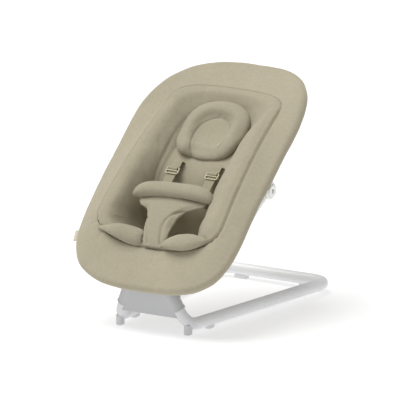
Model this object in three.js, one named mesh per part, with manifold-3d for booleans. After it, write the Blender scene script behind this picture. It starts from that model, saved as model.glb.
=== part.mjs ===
// Baby bouncer seat: a padded fabric seat on a folding, springy floor frame.
// Millimetres, +Z up. The baby's feet point along -Y, X is across the seat.
import * as THREE from "three";
import { mergeVertices } from "three/addons/utils/BufferGeometryUtils.js";
import Module from "manifold-3d";

const wasm = await Module();
wasm.setup();

const { degToRad, lerp, smoothstep } = THREE.MathUtils;
const SIDES = { left: -1, right: 1 };

// ---------------------------------------------------------------- driving dimensions

const fit = 0.3; // gap between pieces that touch
const runGap = 0.35; // running gap of a turning piece
const WELD = 0.004; // corners closer than this are one

// The seat is measured along its side view: s runs from the foot end to the head end,
// and h stands off the arc towards the baby.
const seat = {
  width: 434,
  length: 700,
  lipY: -66,
  lipZ: 110,
  lipAngle: 54.5, // slope of the arc at the foot end, degrees
  headAngle: 21.5, // slope at the head end
  footRound: 172,
  footPower: 3.2, // squareness of the rounded end
  headRound: 245,
  headPower: 2.3,
};
// The rim's sides curl up beside the head.
const rimRise = { side: 2, head: 22, from: 330, to: 600, power: 1.5 };
const rimTube = { radius: 9, wall: 1.5, drop: 9 };
const hem = { wall: 3, bandThickness: 9, crown: 3 };
// The seam line between the padded rim and the bowl.
const crest = {
  half: 174,
  headHalf: 143,
  foot: 106,
  head: 594,
  footRound: 84,
  headRound: 64,
  footPower: 2.5,
  headPower: 2.3,
  middle: 6, // height on the seat's centre line
  side: 20, // further height at the sides
};
const bowl = {
  hipS: 205,
  hipReach: 85,
  hipDepth: 88,
  backDepth: 27,
  headDepth: 13,
  backEnd: 450,
  headStart: 580,
};
const inlay = { thickness: 11 };
const sling = { thickness: 4, meetsRow: 3 }; // the bowl's wall row where the sling meets the inlay

const floorTube = {
  radius: 14,
  wall: 1.8,
  clearance: 8,
  frontHalf: 93,
  frontBend: 38,
  rearHalf: 150.6,
  rearY: 528.5,
  rearBend: 45,
};
const leg = { topHalf: 55, topY: -18, topZ: 100 };
const bridge = {
  wall: 3,
  bottomZ: 41,
  topZ: 104,
  sleeveWall: 2.2,
  sleeveStart: 4, // along the leg from the end of its bend
  collar: 5,
  collarStep: 1,
  faceInset: 3, // of the front face from the sleeves' front
  rearY: 40,
  trayTop: 61,
  ribs: 4,
  rib: 2.4,
  ribDepth: 6,
  trayRibs: 3,
  trayRibHeight: 7,
  ribPitch: 18,
  screwY: 8,
  screwZ: 51,
};
const hinge = {
  y: 20,
  z: 82,
  axleRadius: 6,
  bossRadius: 12,
  cheek: 4,
  drumRadius: 15,
  drumHalf: 20,
};
const spring = { wire: 1.4, turns: 3, coilGap: 2.2 };
const knuckle = {
  radius: 16,
  inner: 37,
  width: 13,
  notches: [0, 9, 18, 46], // degrees from the notch in use at rest
  notchHalf: 2.3,
  notchDepth: 2.4,
};
const carrier = { ear: 4, waistHalf: 8, waistDepth: 4 };
const lever = {
  backY: 20, // pivot behind and below the hinge
  downZ: 13,
  pin: 2,
  block: 6.4,
  half: 15,
  thickness: 3,
  grip: 24,
  gripRise: 3,
  pawlHalf: 47,
  pawlAngle: -60, // of the pawl round the hinge, degrees
  pawlClear: 3,
  pawlWidth: 4,
  pawlThickness: 2.4,
};
const arm = {
  radius: 10,
  wall: 1.8,
  socket: 8, // start of the arm from the hinge
  straight: 18,
  spread: 118,
  lowY: 74,
  lowZ: 152,
  outHalf: 160,
  midY: 120,
  midZ: 226,
  tuck: 2.15,
};
const crossTube = { radius: 8 };
const hub = {
  s: 329,
  h: -33,
  radius: 21,
  width: 19,
  offset: 0.65,
  capRadius: 15,
  capThickness: 3,
};
const footBlock = { width: 15, length: 19, top: 17, y: 3 };
const railPad = { width: 16, length: 34, top: 12, y: 84 };
const rearPad = { width: 18, length: 34, top: 12, inset: 62 };
const pad = { chamfer: 2, corner: 3 }; // of the pads under the floor tube

const pillow = {
  half: 86,
  foot: 366,
  head: 546,
  footRound: 70,
  headRound: 88,
  power: 2.2,
  ringHeight: 30,
  settle: 4,
  bandWidth: 44,
  footShare: 0.6, // of half the band's width, to its middle line at the foot end
  opening: 0.42, // of the pillow's half width, between the ring's ends
  centreHeight: 15,
  centreFootRound: 20,
};
const legPad = {
  outer: 150,
  inner: 28,
  outerS: 134,
  innerS: 121,
  outerH: 15,
  innerH: 9,
  width: 42,
  thickness: 34,
};
const webbing = { width: 25, thickness: 1.8, waistWidth: 22 };
const shoulder = { x: 54, h: -16, topS: 363, straightS: 290, landing: 8 };
const crotchRun = { reach: 25, footS: 140, sink: 4 }; // the crotch strap's way down to the bowl's foot
const waistRun = { level: 5, reach: 14, short: 50, sink: 9 }; // the waist strap's way down to the bowl's side
const adjuster = { along: 0.44, width: 35, length: 20, thickness: 7, end: 4, bar: 3 };
const waistPad = { half: 103, s: 246, h: 10.3, width: 36, thickness: 34, bowS: 9, bowH: 11 };
const crotchPad = {
  baseS: 103,
  topS: 235,
  baseHalf: 25,
  waistHalf: 34,
  flareHalf: 88,
  thickness: 10,
  baseH: 10,
  topH: 9,
  bow: 6,
  wrap: 8,
};
const buckle = { s: 246, h: -3, width: 54, length: 42, thickness: 13 };
const button = { radius: 10, taper: 1, travel: 2.5, floor: 0.6, proud: 0.2 };
const tongue = { width: 22, reach: 12, thickness: 3, margin: 3 }; // margin beyond the webbing
const label = { s: 126, length: 22, reach: 5, thickness: 2, tilt: -60 };

const screw = { shank: 2, head: 4, headHeight: 2.4, length: 9 };

// ---------------------------------------------------------------- materials

function finish(color, roughness, metalness = 0) {
  return new THREE.MeshStandardMaterial({ color, roughness, metalness });
}
const materials = {
  fabric: finish(0xa79d87, 0.85),
  inlay: finish(0xa39981, 0.8),
  pad: finish(0xa0967d, 0.8),
  webbing: finish(0x8f866f, 0.9),
  sandPlastic: finish(0xb3a37c, 0.5),
  greyPlastic: finish(0xd2d3d6, 0.45),
  greyPaint: finish(0xd0d1d5, 0.35, 0.2),
  rubber: finish(0xb9babd, 0.9),
  steel: finish(0x9b9ea3, 0.35, 0.9),
  darkPlastic: finish(0x55565a, 0.6),
};

const bouncer = new THREE.Group();

function add(name, geometry, material) {
  const mesh = new THREE.Mesh(geometry, material);
  mesh.name = name;
  bouncer.add(mesh);
  return mesh;
}

// ---------------------------------------------------------------- geometry helpers

function solidOf(geometry) {
  const bare = geometry.clone();
  bare.deleteAttribute("normal");
  bare.deleteAttribute("uv");
  const merged = mergeVertices(bare, 1e-4);
  return new wasm.Manifold(
    new wasm.Mesh({
      numProp: 3,
      vertProperties: new Float32Array(merged.attributes.position.array),
      triVerts: new Uint32Array(merged.index.array),
    }),
  );
}

function geometryOf(solid) {
  const mesh = solid.getMesh();
  const geometry = new THREE.BufferGeometry();
  geometry.setAttribute("position", new THREE.BufferAttribute(mesh.vertProperties, 3));
  geometry.setIndex(new THREE.BufferAttribute(mesh.triVerts, 1));
  return welded(geometry);
}

// Merges corners that a cut leaves closer than the weld and drops the faces that collapse.
function welded(geometry) {
  const merged = mergeVertices(geometry, WELD);
  const index = merged.index.array;
  const kept = [];
  for (let i = 0; i < index.length; i += 3) {
    const [a, b, c] = [index[i], index[i + 1], index[i + 2]];
    if (a !== b && b !== c && c !== a) kept.push(a, b, c);
  }
  merged.setIndex(kept);
  return merged;
}

function cut(geometry, ...tools) {
  let solid = solidOf(geometry);
  for (const tool of tools) solid = solid.subtract(solidOf(tool));
  return geometryOf(solid);
}

function join(...pieces) {
  let solid = solidOf(pieces[0]);
  for (const piece of pieces.slice(1)) solid = solid.add(solidOf(piece));
  return geometryOf(solid);
}

// A closed skin through rows of points. Each row is a closed loop, or a single point at an end.
// With wrap the last row joins the first, as on a ring; otherwise the end loops are capped.
function skin(rows, wrap = false) {
  const pole = (row) => [row.reduce((sum, p) => sum.add(p), new THREE.Vector3()).divideScalar(row.length)];
  const open = (row) => !wrap && row.length > 1;
  const all = rows.slice();
  if (open(rows[0])) all.unshift(pole(rows[0]));
  if (open(rows[rows.length - 1])) all.push(pole(rows[rows.length - 1]));
  const starts = [];
  const positions = [];
  for (const row of all) {
    starts.push(positions.length / 3);
    for (const p of row) positions.push(p.x, p.y, p.z);
  }
  const index = [];
  const spans = wrap ? all.length : all.length - 1;
  for (let r = 0; r < spans; r++) {
    const next = (r + 1) % all.length;
    const count = Math.max(all[r].length, all[next].length);
    for (let i = 0; i < count; i++) {
      const j = (i + 1) % count;
      const a = starts[r] + (all[r].length > 1 ? i : 0);
      const b = starts[r] + (all[r].length > 1 ? j : 0);
      const c = starts[next] + (all[next].length > 1 ? i : 0);
      const d = starts[next] + (all[next].length > 1 ? j : 0);
      if (a !== b) index.push(a, b, d);
      if (c !== d) index.push(a, d, c);
    }
  }
  const geometry = new THREE.BufferGeometry();
  geometry.setAttribute("position", new THREE.Float32BufferAttribute(positions, 3));
  geometry.setIndex(facesOut(positions, index));
  return geometry;
}

// A thin-walled dish: two stacks of loops, each from a middle point outwards, joined at the rim.
function shell(upper, lower) {
  const starts = [[], []];
  const positions = [];
  [upper, lower].forEach((rows, face) => {
    for (const row of rows) {
      starts[face].push(positions.length / 3);
      for (const p of row) positions.push(p.x, p.y, p.z);
    }
  });
  const count = upper[1].length;
  const last = upper.length - 1;
  const index = [];
  const quad = (a, b, c, d, flip) => {
    if (flip) index.push(a, c, b, b, c, d);
    else index.push(a, b, c, b, d, c);
  };
  for (let i = 0; i < count; i++) {
    const j = (i + 1) % count;
    starts.forEach((at, face) => {
      if (face === 0) index.push(at[0], at[1] + i, at[1] + j);
      else index.push(at[0], at[1] + j, at[1] + i);
      for (let r = 1; r < last; r++) {
        quad(at[r] + i, at[r] + j, at[r + 1] + i, at[r + 1] + j, face === 0);
      }
    });
    const [top, bottom] = [starts[0][last], starts[1][last]];
    quad(top + i, top + j, bottom + i, bottom + j, true);
  }
  const geometry = new THREE.BufferGeometry();
  geometry.setAttribute("position", new THREE.Float32BufferAttribute(positions, 3));
  geometry.setIndex(facesOut(positions, index));
  return geometry;
}

function facesOut(positions, index) {
  const at = (i) => new THREE.Vector3(positions[3 * i], positions[3 * i + 1], positions[3 * i + 2]);
  let volume = 0;
  for (let i = 0; i < index.length; i += 3) {
    volume += at(index[i]).dot(at(index[i + 1]).cross(at(index[i + 2])));
  }
  return volume < 0 ? index.slice().reverse() : index;
}

// A route of straight runs with exactly these points, for an extrusion along it.
class Route extends THREE.Curve {
  constructor(points) {
    super();
    this.points = points;
  }
  getUtoTmapping(u) {
    return u;
  }
  getPoint(t, target = new THREE.Vector3()) {
    const spans = this.points.length - 1;
    const i = Math.min(Math.floor(t * spans + 1e-9), spans - 1);
    return target.lerpVectors(this.points[i], this.points[i + 1], t * spans - i);
  }
  getTangent(t, target = new THREE.Vector3()) {
    const last = this.points.length - 1;
    const i = Math.round(t * last);
    const before = this.points[Math.max(i - 1, 0)];
    const here = this.points[i];
    const after = this.points[Math.min(i + 1, last)];
    const arriving = new THREE.Vector3().subVectors(here, before).normalize();
    const leaving = new THREE.Vector3().subVectors(after, here).normalize();
    return target.addVectors(arriving, leaving).normalize();
  }
}

const BORE_SIDES = 6; // sides of a tube's hidden bore

function disc(radius, sides) {
  const shape = new THREE.Shape();
  for (let i = 0; i < sides; i++) {
    const angle = (2 * Math.PI * i) / sides;
    const x = radius * Math.cos(angle);
    const y = radius * Math.sin(angle);
    if (i === 0) shape.moveTo(x, y);
    else shape.lineTo(x, y);
  }
  shape.closePath();
  return shape;
}

function tube(points, radius, sides = 10, wall = 0) {
  const options = { steps: points.length - 1, extrudePath: new Route(points), bevelEnabled: false };
  const shape = disc(radius, sides);
  if (wall > 0) shape.holes.push(disc(radius - wall, BORE_SIDES));
  return new THREE.ExtrudeGeometry(shape, options);
}

// Rounds the corner at b of the route a-b-c with an arc that starts `reach` before it.
function bend(a, b, c, reach, steps = 5) {
  const from = b.clone().add(a.clone().sub(b).setLength(reach));
  const to = b.clone().add(c.clone().sub(b).setLength(reach));
  const curve = new THREE.QuadraticBezierCurve3(from, b, to);
  return curve.getPoints(steps);
}

function smoothRoute(points, steps) {
  return new THREE.CatmullRomCurve3(points, false, "centripetal").getSpacedPoints(steps);
}

function cylinderX(radius, x0, x1, y, z, sides = 24) {
  const geometry = new THREE.CylinderGeometry(radius, radius, Math.abs(x1 - x0), sides);
  return geometry.rotateZ(Math.PI / 2).translate((x0 + x1) / 2, y, z);
}

function box(x0, x1, y0, y1, z0, z1) {
  const geometry = new THREE.BoxGeometry(Math.abs(x1 - x0), Math.abs(y1 - y0), Math.abs(z1 - z0));
  return geometry.translate((x0 + x1) / 2, (y0 + y1) / 2, (z0 + z1) / 2);
}

// A prism along X from an outline of [y, z] points.
function prismX(outline, x0, x1) {
  const rows = [x0, x1].map((x) => outline.map(([y, z]) => new THREE.Vector3(x, y, z)));
  return skin(rows);
}

function mirrored(geometry) {
  const copy = geometry.index ? geometry.toNonIndexed() : geometry.clone();
  copy.scale(-1, 1, 1);
  const position = copy.attributes.position;
  const swap = new THREE.Vector3();
  for (let i = 0; i < position.count; i += 3) {
    swap.fromBufferAttribute(position, i);
    position.setXYZ(i, position.getX(i + 1), position.getY(i + 1), position.getZ(i + 1));
    position.setXYZ(i + 1, swap.x, swap.y, swap.z);
  }
  copy.deleteAttribute("normal");
  return copy;
}

function addPair(name, geometry, material) {
  add(name + "_right", geometry, material);
  add(name + "_left", mirrored(geometry), material);
}

// ---------------------------------------------------------------- the seat's own frame

const arcRadius = seat.length / degToRad(seat.lipAngle - seat.headAngle);

function slopeAt(s) {
  return degToRad(seat.lipAngle) - s / arcRadius;
}

function seatPoint(x, s, h = 0) {
  const start = degToRad(seat.lipAngle);
  const slope = slopeAt(s);
  const y = seat.lipY + arcRadius * (Math.sin(start) - Math.sin(slope));
  const z = seat.lipZ + arcRadius * (Math.cos(slope) - Math.cos(start));
  return new THREE.Vector3(x, y - h * Math.sin(slope), z + h * Math.cos(slope));
}

function alongSeat(s) {
  return new THREE.Vector3(0, Math.cos(slopeAt(s)), Math.sin(slopeAt(s)));
}

function offSeat(s) {
  return new THREE.Vector3(0, -Math.sin(slopeAt(s)), Math.cos(slopeAt(s)));
}

const CORNER = 6; // steps round a quarter of an outline
const STRAIGHT = 4; // steps along a straight side

// A closed outline in the seat's frame: straight sides, which may taper, with rounded ends.
function outline(line) {
  const { half, headHalf = half, foot, head, footRound, headRound, footPower, headPower = footPower } = line;
  const side = [];
  const round = (step, power) => {
    const angle = (Math.PI / 2) * (step / CORNER);
    return [Math.sin(angle) ** (2 / power), Math.cos(angle) ** (2 / power)];
  };
  for (let i = 0; i < CORNER; i++) {
    const [across, along] = round(i, footPower);
    side.push([across, foot + footRound * (1 - along)]);
  }
  for (let i = 0; i < STRAIGHT; i++) {
    side.push([1, lerp(foot + footRound, head - headRound, i / STRAIGHT)]);
  }
  for (let i = CORNER; i >= 0; i--) {
    const [across, along] = i > 0 ? round(i, headPower) : [0, 1];
    side.push([across, head - headRound * (1 - along)]);
  }
  const right = side.map(([across, s]) => [across * lerp(half, headHalf, (s - foot) / (head - foot)), s]);
  const left = right.slice(1, -1).reverse().map(([x, s]) => [-x, s]);
  return [...right, ...left];
}

// The same line moved outwards on every side.
function grown({ half, headHalf = half, foot, head, ...rounds }, by) {
  return { ...rounds, half: half + by, headHalf: headHalf + by, foot: foot - by, head: head + by };
}

// The same line drawn in towards a point on its centre line.
function shrunk({ half, headHalf = half, foot, head, footRound, headRound, ...powers }, share, middle) {
  return {
    ...powers,
    half: half * share,
    headHalf: headHalf * share,
    foot: lerp(middle, foot, share),
    head: lerp(middle, head, share),
    footRound: footRound * share,
    headRound: headRound * share,
  };
}

// ---------------------------------------------------------------- shape of the bowl

function bowlDepth(s) {
  const hip = Math.exp(-(((s - bowl.hipS) / bowl.hipReach) ** 2));
  const back = lerp(bowl.backDepth, bowl.headDepth, smoothstep(s, bowl.backEnd, bowl.headStart));
  return back + (bowl.hipDepth - bowl.backDepth) * hip;
}

function crestHeight(x) {
  return crest.middle + crest.side * (x / crest.half) ** 2;
}

// Inset from the crest line and share of the full depth reached there.
const wallRows = [
  [0, 0],
  [9, -0.05],
  [24, 0.04],
  [41, 0.5],
  [58, 0.95],
];
const floorShares = [0.62, 0.28]; // the floor's rows, as shares of the wall's foot outline
const footSteepness = 0.62; // how much closer the wall's foot is to the crest at the foot end
const lowPoint = 0.4; // the floor's middle point, as a share of its length

function bowlRings() {
  const rings = wallRows.map(([inset, depth]) => ({
    ...grown(crest, -inset),
    foot: crest.foot + inset * footSteepness,
    depth,
  }));
  const base = rings[rings.length - 1];
  const middle = lerp(base.foot, base.head, lowPoint);
  for (const share of floorShares) rings.push({ ...shrunk(base, share, middle), depth: 1 });
  return { rings, middle };
}

function bowlPoint(x, s, depth, offset) {
  return seatPoint(x, s, lerp(crestHeight(x), -bowlDepth(s), depth) + offset);
}

// The bowl's rows from its low point outwards, as far as the wall row given.
function bowlRows(offset, outermost = 0) {
  const { rings, middle } = bowlRings();
  const row = (ring) => outline(ring).map(([x, s]) => bowlPoint(x, s, ring.depth, offset));
  const rows = rings.slice(outermost).map(row);
  return [[bowlPoint(0, middle, 1, offset)], ...rows.reverse()];
}

// ---------------------------------------------------------------- rim: frame tube and padded band

const HEM_STEPS = 5;
const hemAngles = Array.from({ length: HEM_STEPS + 1 }, (_, i) => lerp(90, -140, i / HEM_STEPS));
const hemInner = (rimTube.radius + fit) / Math.cos(degToRad((hemAngles[0] - hemAngles[1]) / 2));
const hemOuter = hemInner + hem.wall;
const rimLine = {
  half: seat.width / 2 - hemOuter,
  foot: hemOuter,
  head: seat.length - hemOuter,
  footRound: seat.footRound,
  headRound: seat.headRound,
  footPower: seat.footPower,
  headPower: seat.headPower,
};

function rimHeight(x, s) {
  const rise = lerp(rimRise.side, rimRise.head, smoothstep(s, rimRise.from, rimRise.to));
  return rise * (Math.abs(x) / rimLine.half) ** rimRise.power;
}

function rimCentre([x, s]) {
  return seatPoint(x, s, rimHeight(x, s) - rimTube.drop);
}

// The frame tube is two bent tubes, one round each end, that meet inside the hubs.
function rimHalf(footEnd) {
  const line = outline(rimLine);
  const middle = line.length / 2;
  const turned = [...line.slice(middle), ...line.slice(0, middle)];
  const away = footEnd ? -1 : 1;
  const kept = (footEnd ? turned : line).filter(([, s]) => away * (s - hub.s) > rimTube.radius);
  const end = hub.s + away * fit;
  const side = footEnd ? -rimLine.half : rimLine.half;
  return [[side, end], ...kept, [-side, end]].map(rimCentre);
}

function bandLevels() {
  const inner = outline(grown(crest, 2 * fit));
  const outer = outline(rimLine);
  return inner.map(([x, s], i) => {
    const [rimX, rimS] = outer[i];
    const [beforeX, beforeS] = outer[(i + outer.length - 1) % outer.length];
    const [afterX, afterS] = outer[(i + 1) % outer.length];
    const out = new THREE.Vector3(afterS - beforeS, 0, 0);
    out.addScaledVector(alongSeat(rimS), beforeX - afterX).normalize();
    const up = offSeat(rimS);
    const centre = rimCentre([rimX, rimS]);
    const onHem = (radius, degrees) =>
      centre
        .clone()
        .addScaledVector(out, radius * Math.cos(degToRad(degrees)))
        .addScaledVector(up, radius * Math.sin(degToRad(degrees)));
    const onBand = (depth, radius, share) =>
      seatPoint(x, s, crestHeight(x) - depth)
        .lerp(onHem(radius, 90), share)
        .addScaledVector(up, hem.crown * 4 * share * (1 - share));
    return { s: rimS, out, up, onHem, onBand };
  });
}

const bandShares = [0, 0.34, 0.68];

function rimBand() {
  const rows = bandLevels().map(({ onHem, onBand }) => [
    ...bandShares.map((share) => onBand(0, hemOuter, share)),
    ...hemAngles.map((angle) => onHem(hemOuter, angle)),
    ...hemAngles.slice().reverse().map((angle) => onHem(hemInner, angle)),
    ...bandShares.slice().reverse().map((share) => onBand(hem.bandThickness, hemInner, share)),
  ]);
  return skin(rows, true);
}

// Everything below the seat's upper surface, raised by a clearance: pads are trimmed with it.
function belowSeat(clearance) {
  const up = offSeat(seat.length / 2);
  const moved = (rows, by) => rows.map((row) => row.map((p) => p.clone().addScaledVector(up, by)));
  const levels = bandLevels();
  const bandRow = (share) => levels.map(({ onBand }) => onBand(0, hemOuter, share));
  const edge = [...bandShares.slice(1), 1].map(bandRow);
  const upper = [...bowlRows(clearance), ...moved(edge, clearance)];
  return shell(upper, moved(upper, -2 * bowl.hipDepth));
}

function inlayShell() {
  return shell(bowlRows(0), bowlRows(-inlay.thickness));
}

// The sling hangs from the frame tube's inner side and lies under the band and the inlay.
function slingShell() {
  const inset = hemInner + sling.thickness;
  const edge = outline({
    ...grown(rimLine, -inset),
    footRound: rimLine.footRound - inset,
    headRound: rimLine.headRound - inset,
  });
  const face = (gap) => [
    ...bowlRows(-inlay.thickness - fit - gap, sling.meetsRow),
    edge.map(([x, s]) => seatPoint(x, s, rimHeight(x, s) - 1.5 * rimTube.drop - gap)),
  ];
  return shell(face(0), face(sling.thickness));
}

// ---------------------------------------------------------------- floor frame

const tubeZ = floorTube.clearance + floorTube.radius;

function floorRoute() {
  const corner = (side) => ({
    top: new THREE.Vector3(side * leg.topHalf, leg.topY, leg.topZ),
    front: new THREE.Vector3(side * floorTube.frontHalf, 0, tubeZ),
    rear: new THREE.Vector3(side * floorTube.rearHalf, floorTube.rearY, tubeZ),
  });
  const r = corner(SIDES.right);
  const l = corner(SIDES.left);
  return [
    r.top,
    ...bend(r.top, r.front, r.rear, floorTube.frontBend),
    ...bend(r.front, r.rear, l.rear, floorTube.rearBend),
    ...bend(r.rear, l.rear, l.front, floorTube.rearBend),
    ...bend(l.rear, l.front, l.top, floorTube.frontBend),
    l.top,
  ];
}

const FRAME_SIDES = 12;
const floorTubeGeometry = tube(floorRoute(), floorTube.radius, FRAME_SIDES, floorTube.wall);
const floorTubeGrown = tube(floorRoute(), floorTube.radius + fit, FRAME_SIDES);
add("floor_tube", floorTubeGeometry, materials.greyPaint);

// A moulded pad cupped round the underside of the tube, tapered towards the floor.
function cuppedPad(x, y, { width, length, top }) {
  const rows = [0, pad.chamfer, top].map((z) => {
    const inset = z < pad.chamfer ? pad.chamfer : 0;
    const [a, b, c] = [width / 2 - inset, length / 2 - inset, pad.corner];
    const quarter = [[a, b - c], [a - c, b]];
    const back = quarter.map(([dx, dy]) => [-dx, dy]).reverse();
    const loop = [...quarter, ...back];
    const front = loop.map(([dx, dy]) => [-dx, -dy]);
    return [...loop, ...front].map(([dx, dy]) => new THREE.Vector3(x + dx, y + dy, z));
  });
  return cut(skin(rows), floorTubeGrown);
}

const railX = (y) => lerp(floorTube.frontHalf, floorTube.rearHalf, y / floorTube.rearY);
addPair("foot_block", cuppedPad(floorTube.frontHalf, footBlock.y, footBlock), materials.greyPlastic);
addPair("rail_pad", cuppedPad(railX(railPad.y), railPad.y, railPad), materials.rubber);
const rearX = floorTube.rearHalf - rearPad.inset;
const rearTurned = { ...rearPad, width: rearPad.length, length: rearPad.width };
addPair("rear_pad", cuppedPad(rearX, floorTube.rearY, rearTurned), materials.rubber);

// ---------------------------------------------------------------- bridge between the legs

const legFoot = new THREE.Vector3(floorTube.frontHalf, 0, tubeZ);
const legTop = new THREE.Vector3(leg.topHalf, leg.topY, leg.topZ);
const legAt = (z) => legFoot.clone().lerp(legTop, (z - tubeZ) / (leg.topZ - tubeZ));
const sleeveRadius = floorTube.radius + fit + bridge.sleeveWall;
const faceY = (z) => legAt(z).y - sleeveRadius + bridge.faceInset; // the bridge's front face
const cheekInner = knuckle.inner + knuckle.width + 1;

// The sleeve round a leg, with a collar at its lower end.
function sleeve() {
  const along = legTop.clone().sub(legFoot).normalize();
  const from = legFoot.clone().addScaledVector(along, floorTube.frontBend + bridge.sleeveStart);
  const to = legTop.clone().addScaledVector(along, bridge.wall + fit);
  const shoulder = from.clone().addScaledVector(along, bridge.collar);
  return join(
    tube([from, to], sleeveRadius, FRAME_SIDES),
    tube([from, shoulder], sleeveRadius + bridge.collarStep, FRAME_SIDES),
  );
}

// A panel between the legs that follows their lean, from one height to another.
function panel(halfAt, z0, z1, front, back) {
  const rows = [z0, z1].map((z) => {
    const [x, y] = [halfAt(z), faceY(z)];
    return [
      new THREE.Vector3(x, y + front, z),
      new THREE.Vector3(x, y + back, z),
      new THREE.Vector3(-x, y + back, z),
      new THREE.Vector3(-x, y + front, z),
    ];
  });
  return skin(rows);
}

function rib(x, z0, z1) {
  return panel(() => bridge.rib / 2, z0, z1, 1, bridge.wall + bridge.ribDepth).translate(x, 0, 0);
}

// A side plate that carries one end of the hinge axle in a round boss.
function cheek() {
  const boss = [];
  for (let degrees = -110; degrees <= 110; degrees += 20) {
    const angle = degToRad(degrees);
    boss.push([hinge.y + hinge.bossRadius * Math.cos(angle), hinge.z + hinge.bossRadius * Math.sin(angle)]);
  }
  const [low, high] = [bridge.bottomZ + bridge.wall, bridge.topZ - bridge.wall];
  const profile = [[faceY(low) + 1, low], [hinge.y - hinge.cheek, low], ...boss, [faceY(high) + 1, high]];
  return prismX(profile, cheekInner, cheekInner + hinge.cheek);
}

const screwHole = (x, direction) => {
  const [from, to] = [x - direction * screw.length, x + direction * screw.length];
  return cylinderX(screw.shank + fit, from, to, bridge.screwY, bridge.screwZ, 12);
};

function bridgeFront() {
  const { bottomZ, topZ, wall, ribs } = bridge;
  const face = panel((z) => legAt(z).x, bottomZ, topZ, 0, wall);
  const roof = panel((z) => legAt(z).x, topZ - wall, topZ, 0, hinge.y - hinge.bossRadius - faceY(topZ));
  const backRibs = Array.from({ length: ribs }, (_, i) => {
    const x = lerp(-1, 1, (i + 0.5) / ribs) * cheekInner;
    return rib(x, bottomZ + wall + 2 * fit, hinge.z - hinge.drumRadius);
  });
  const whole = join(face, roof, sleeve(), mirrored(sleeve()), cheek(), mirrored(cheek()), ...backRibs);
  const axleHole = cylinderX(hinge.axleRadius + fit, -seat.width, seat.width, hinge.y, hinge.z);
  return cut(whole, floorTubeGrown, axleHole, screwHole(cheekInner, 1), screwHole(-cheekInner, -1));
}
add("bridge_front_shell", bridgeFront(), materials.greyPlastic);

// The rear shell is an open tray that closes the bridge below and behind the hinge.
function bridgeRear() {
  const { bottomZ, rearY, wall, trayTop, trayRibs, ribPitch, trayRibHeight } = bridge;
  const half = cheekInner - fit;
  const front = faceY(bottomZ) + wall + fit;
  const outer = box(-half, half, front, rearY, bottomZ, trayTop);
  const clear = box(-half + wall, half - wall, front - 1, rearY - wall, bottomZ + wall, trayTop + wall);
  const ribs = Array.from({ length: trayRibs }, (_, i) => {
    const x = (i - (trayRibs - 1) / 2) * ribPitch;
    const top = bottomZ + wall + trayRibHeight;
    return box(x - bridge.rib / 2, x + bridge.rib / 2, front + 1, rearY - 1, bottomZ + 1, top);
  });
  return cut(join(cut(outer, clear), ...ribs), screwHole(half, 1), screwHole(-half, -1));
}
add("bridge_rear_shell", bridgeRear(), materials.greyPlastic);

// A pan-head screw along X with its head at x, pointing to the side given.
function screwX(x, direction, y, z) {
  const profile = [
    [0, 0],
    [screw.head * 0.8, 0],
    [screw.head, 0.8],
    [screw.head, screw.headHeight],
    [screw.shank, screw.headHeight],
    [screw.shank, screw.length],
    [0, screw.length],
  ].map(([r, a]) => new THREE.Vector2(r, a));
  const geometry = new THREE.LatheGeometry(profile, 10);
  return geometry.rotateZ(direction > 0 ? -Math.PI / 2 : Math.PI / 2).translate(x, y, z);
}
addPair(
  "bridge_screw",
  screwX(cheekInner - fit - bridge.wall - fit - screw.headHeight, 1, bridge.screwY, bridge.screwZ),
  materials.steel,
);

// ---------------------------------------------------------------- hinge, bounce spring and recline lock

add(
  "hinge_axle",
  cylinderX(hinge.axleRadius, -cheekInner - hinge.cheek, cheekInner + hinge.cheek, hinge.y, hinge.z),
  materials.steel,
);

const pivot = { y: hinge.y + lever.backY, z: hinge.z - lever.downZ };

// The carrier turns with the bounce and holds the lever between its two ears.
function bounceCarrier() {
  const { drumRadius, drumHalf } = hinge;
  const drum = cylinderX(drumRadius, -drumHalf, drumHalf, hinge.y, hinge.z);
  const earEnd = lever.pin + carrier.ear;
  const profile = [
    [hinge.y, hinge.z - drumRadius + 2],
    [pivot.y - 1, pivot.z - earEnd + 1],
    [pivot.y + earEnd - 1, pivot.z],
    [pivot.y + 2, pivot.z + earEnd - 1],
    [hinge.y + 6, hinge.z + drumRadius - 3],
  ];
  const ear = prismX(profile, drumHalf - carrier.ear, drumHalf);
  const waist = cut(
    cylinderX(drumRadius + 1, -carrier.waistHalf, carrier.waistHalf, hinge.y, hinge.z),
    cylinderX(drumRadius - carrier.waistDepth, -drumHalf, drumHalf, hinge.y, hinge.z),
  );
  const bore = cylinderX(hinge.axleRadius + runGap, -2 * drumHalf, 2 * drumHalf, hinge.y, hinge.z);
  const pinHole = cylinderX(lever.pin + runGap, -2 * drumHalf, 2 * drumHalf, pivot.y, pivot.z, 12);
  return cut(join(drum, ear, mirrored(ear)), bore, waist, pinHole);
}
add("bounce_carrier", bounceCarrier(), materials.darkPlastic);

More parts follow.
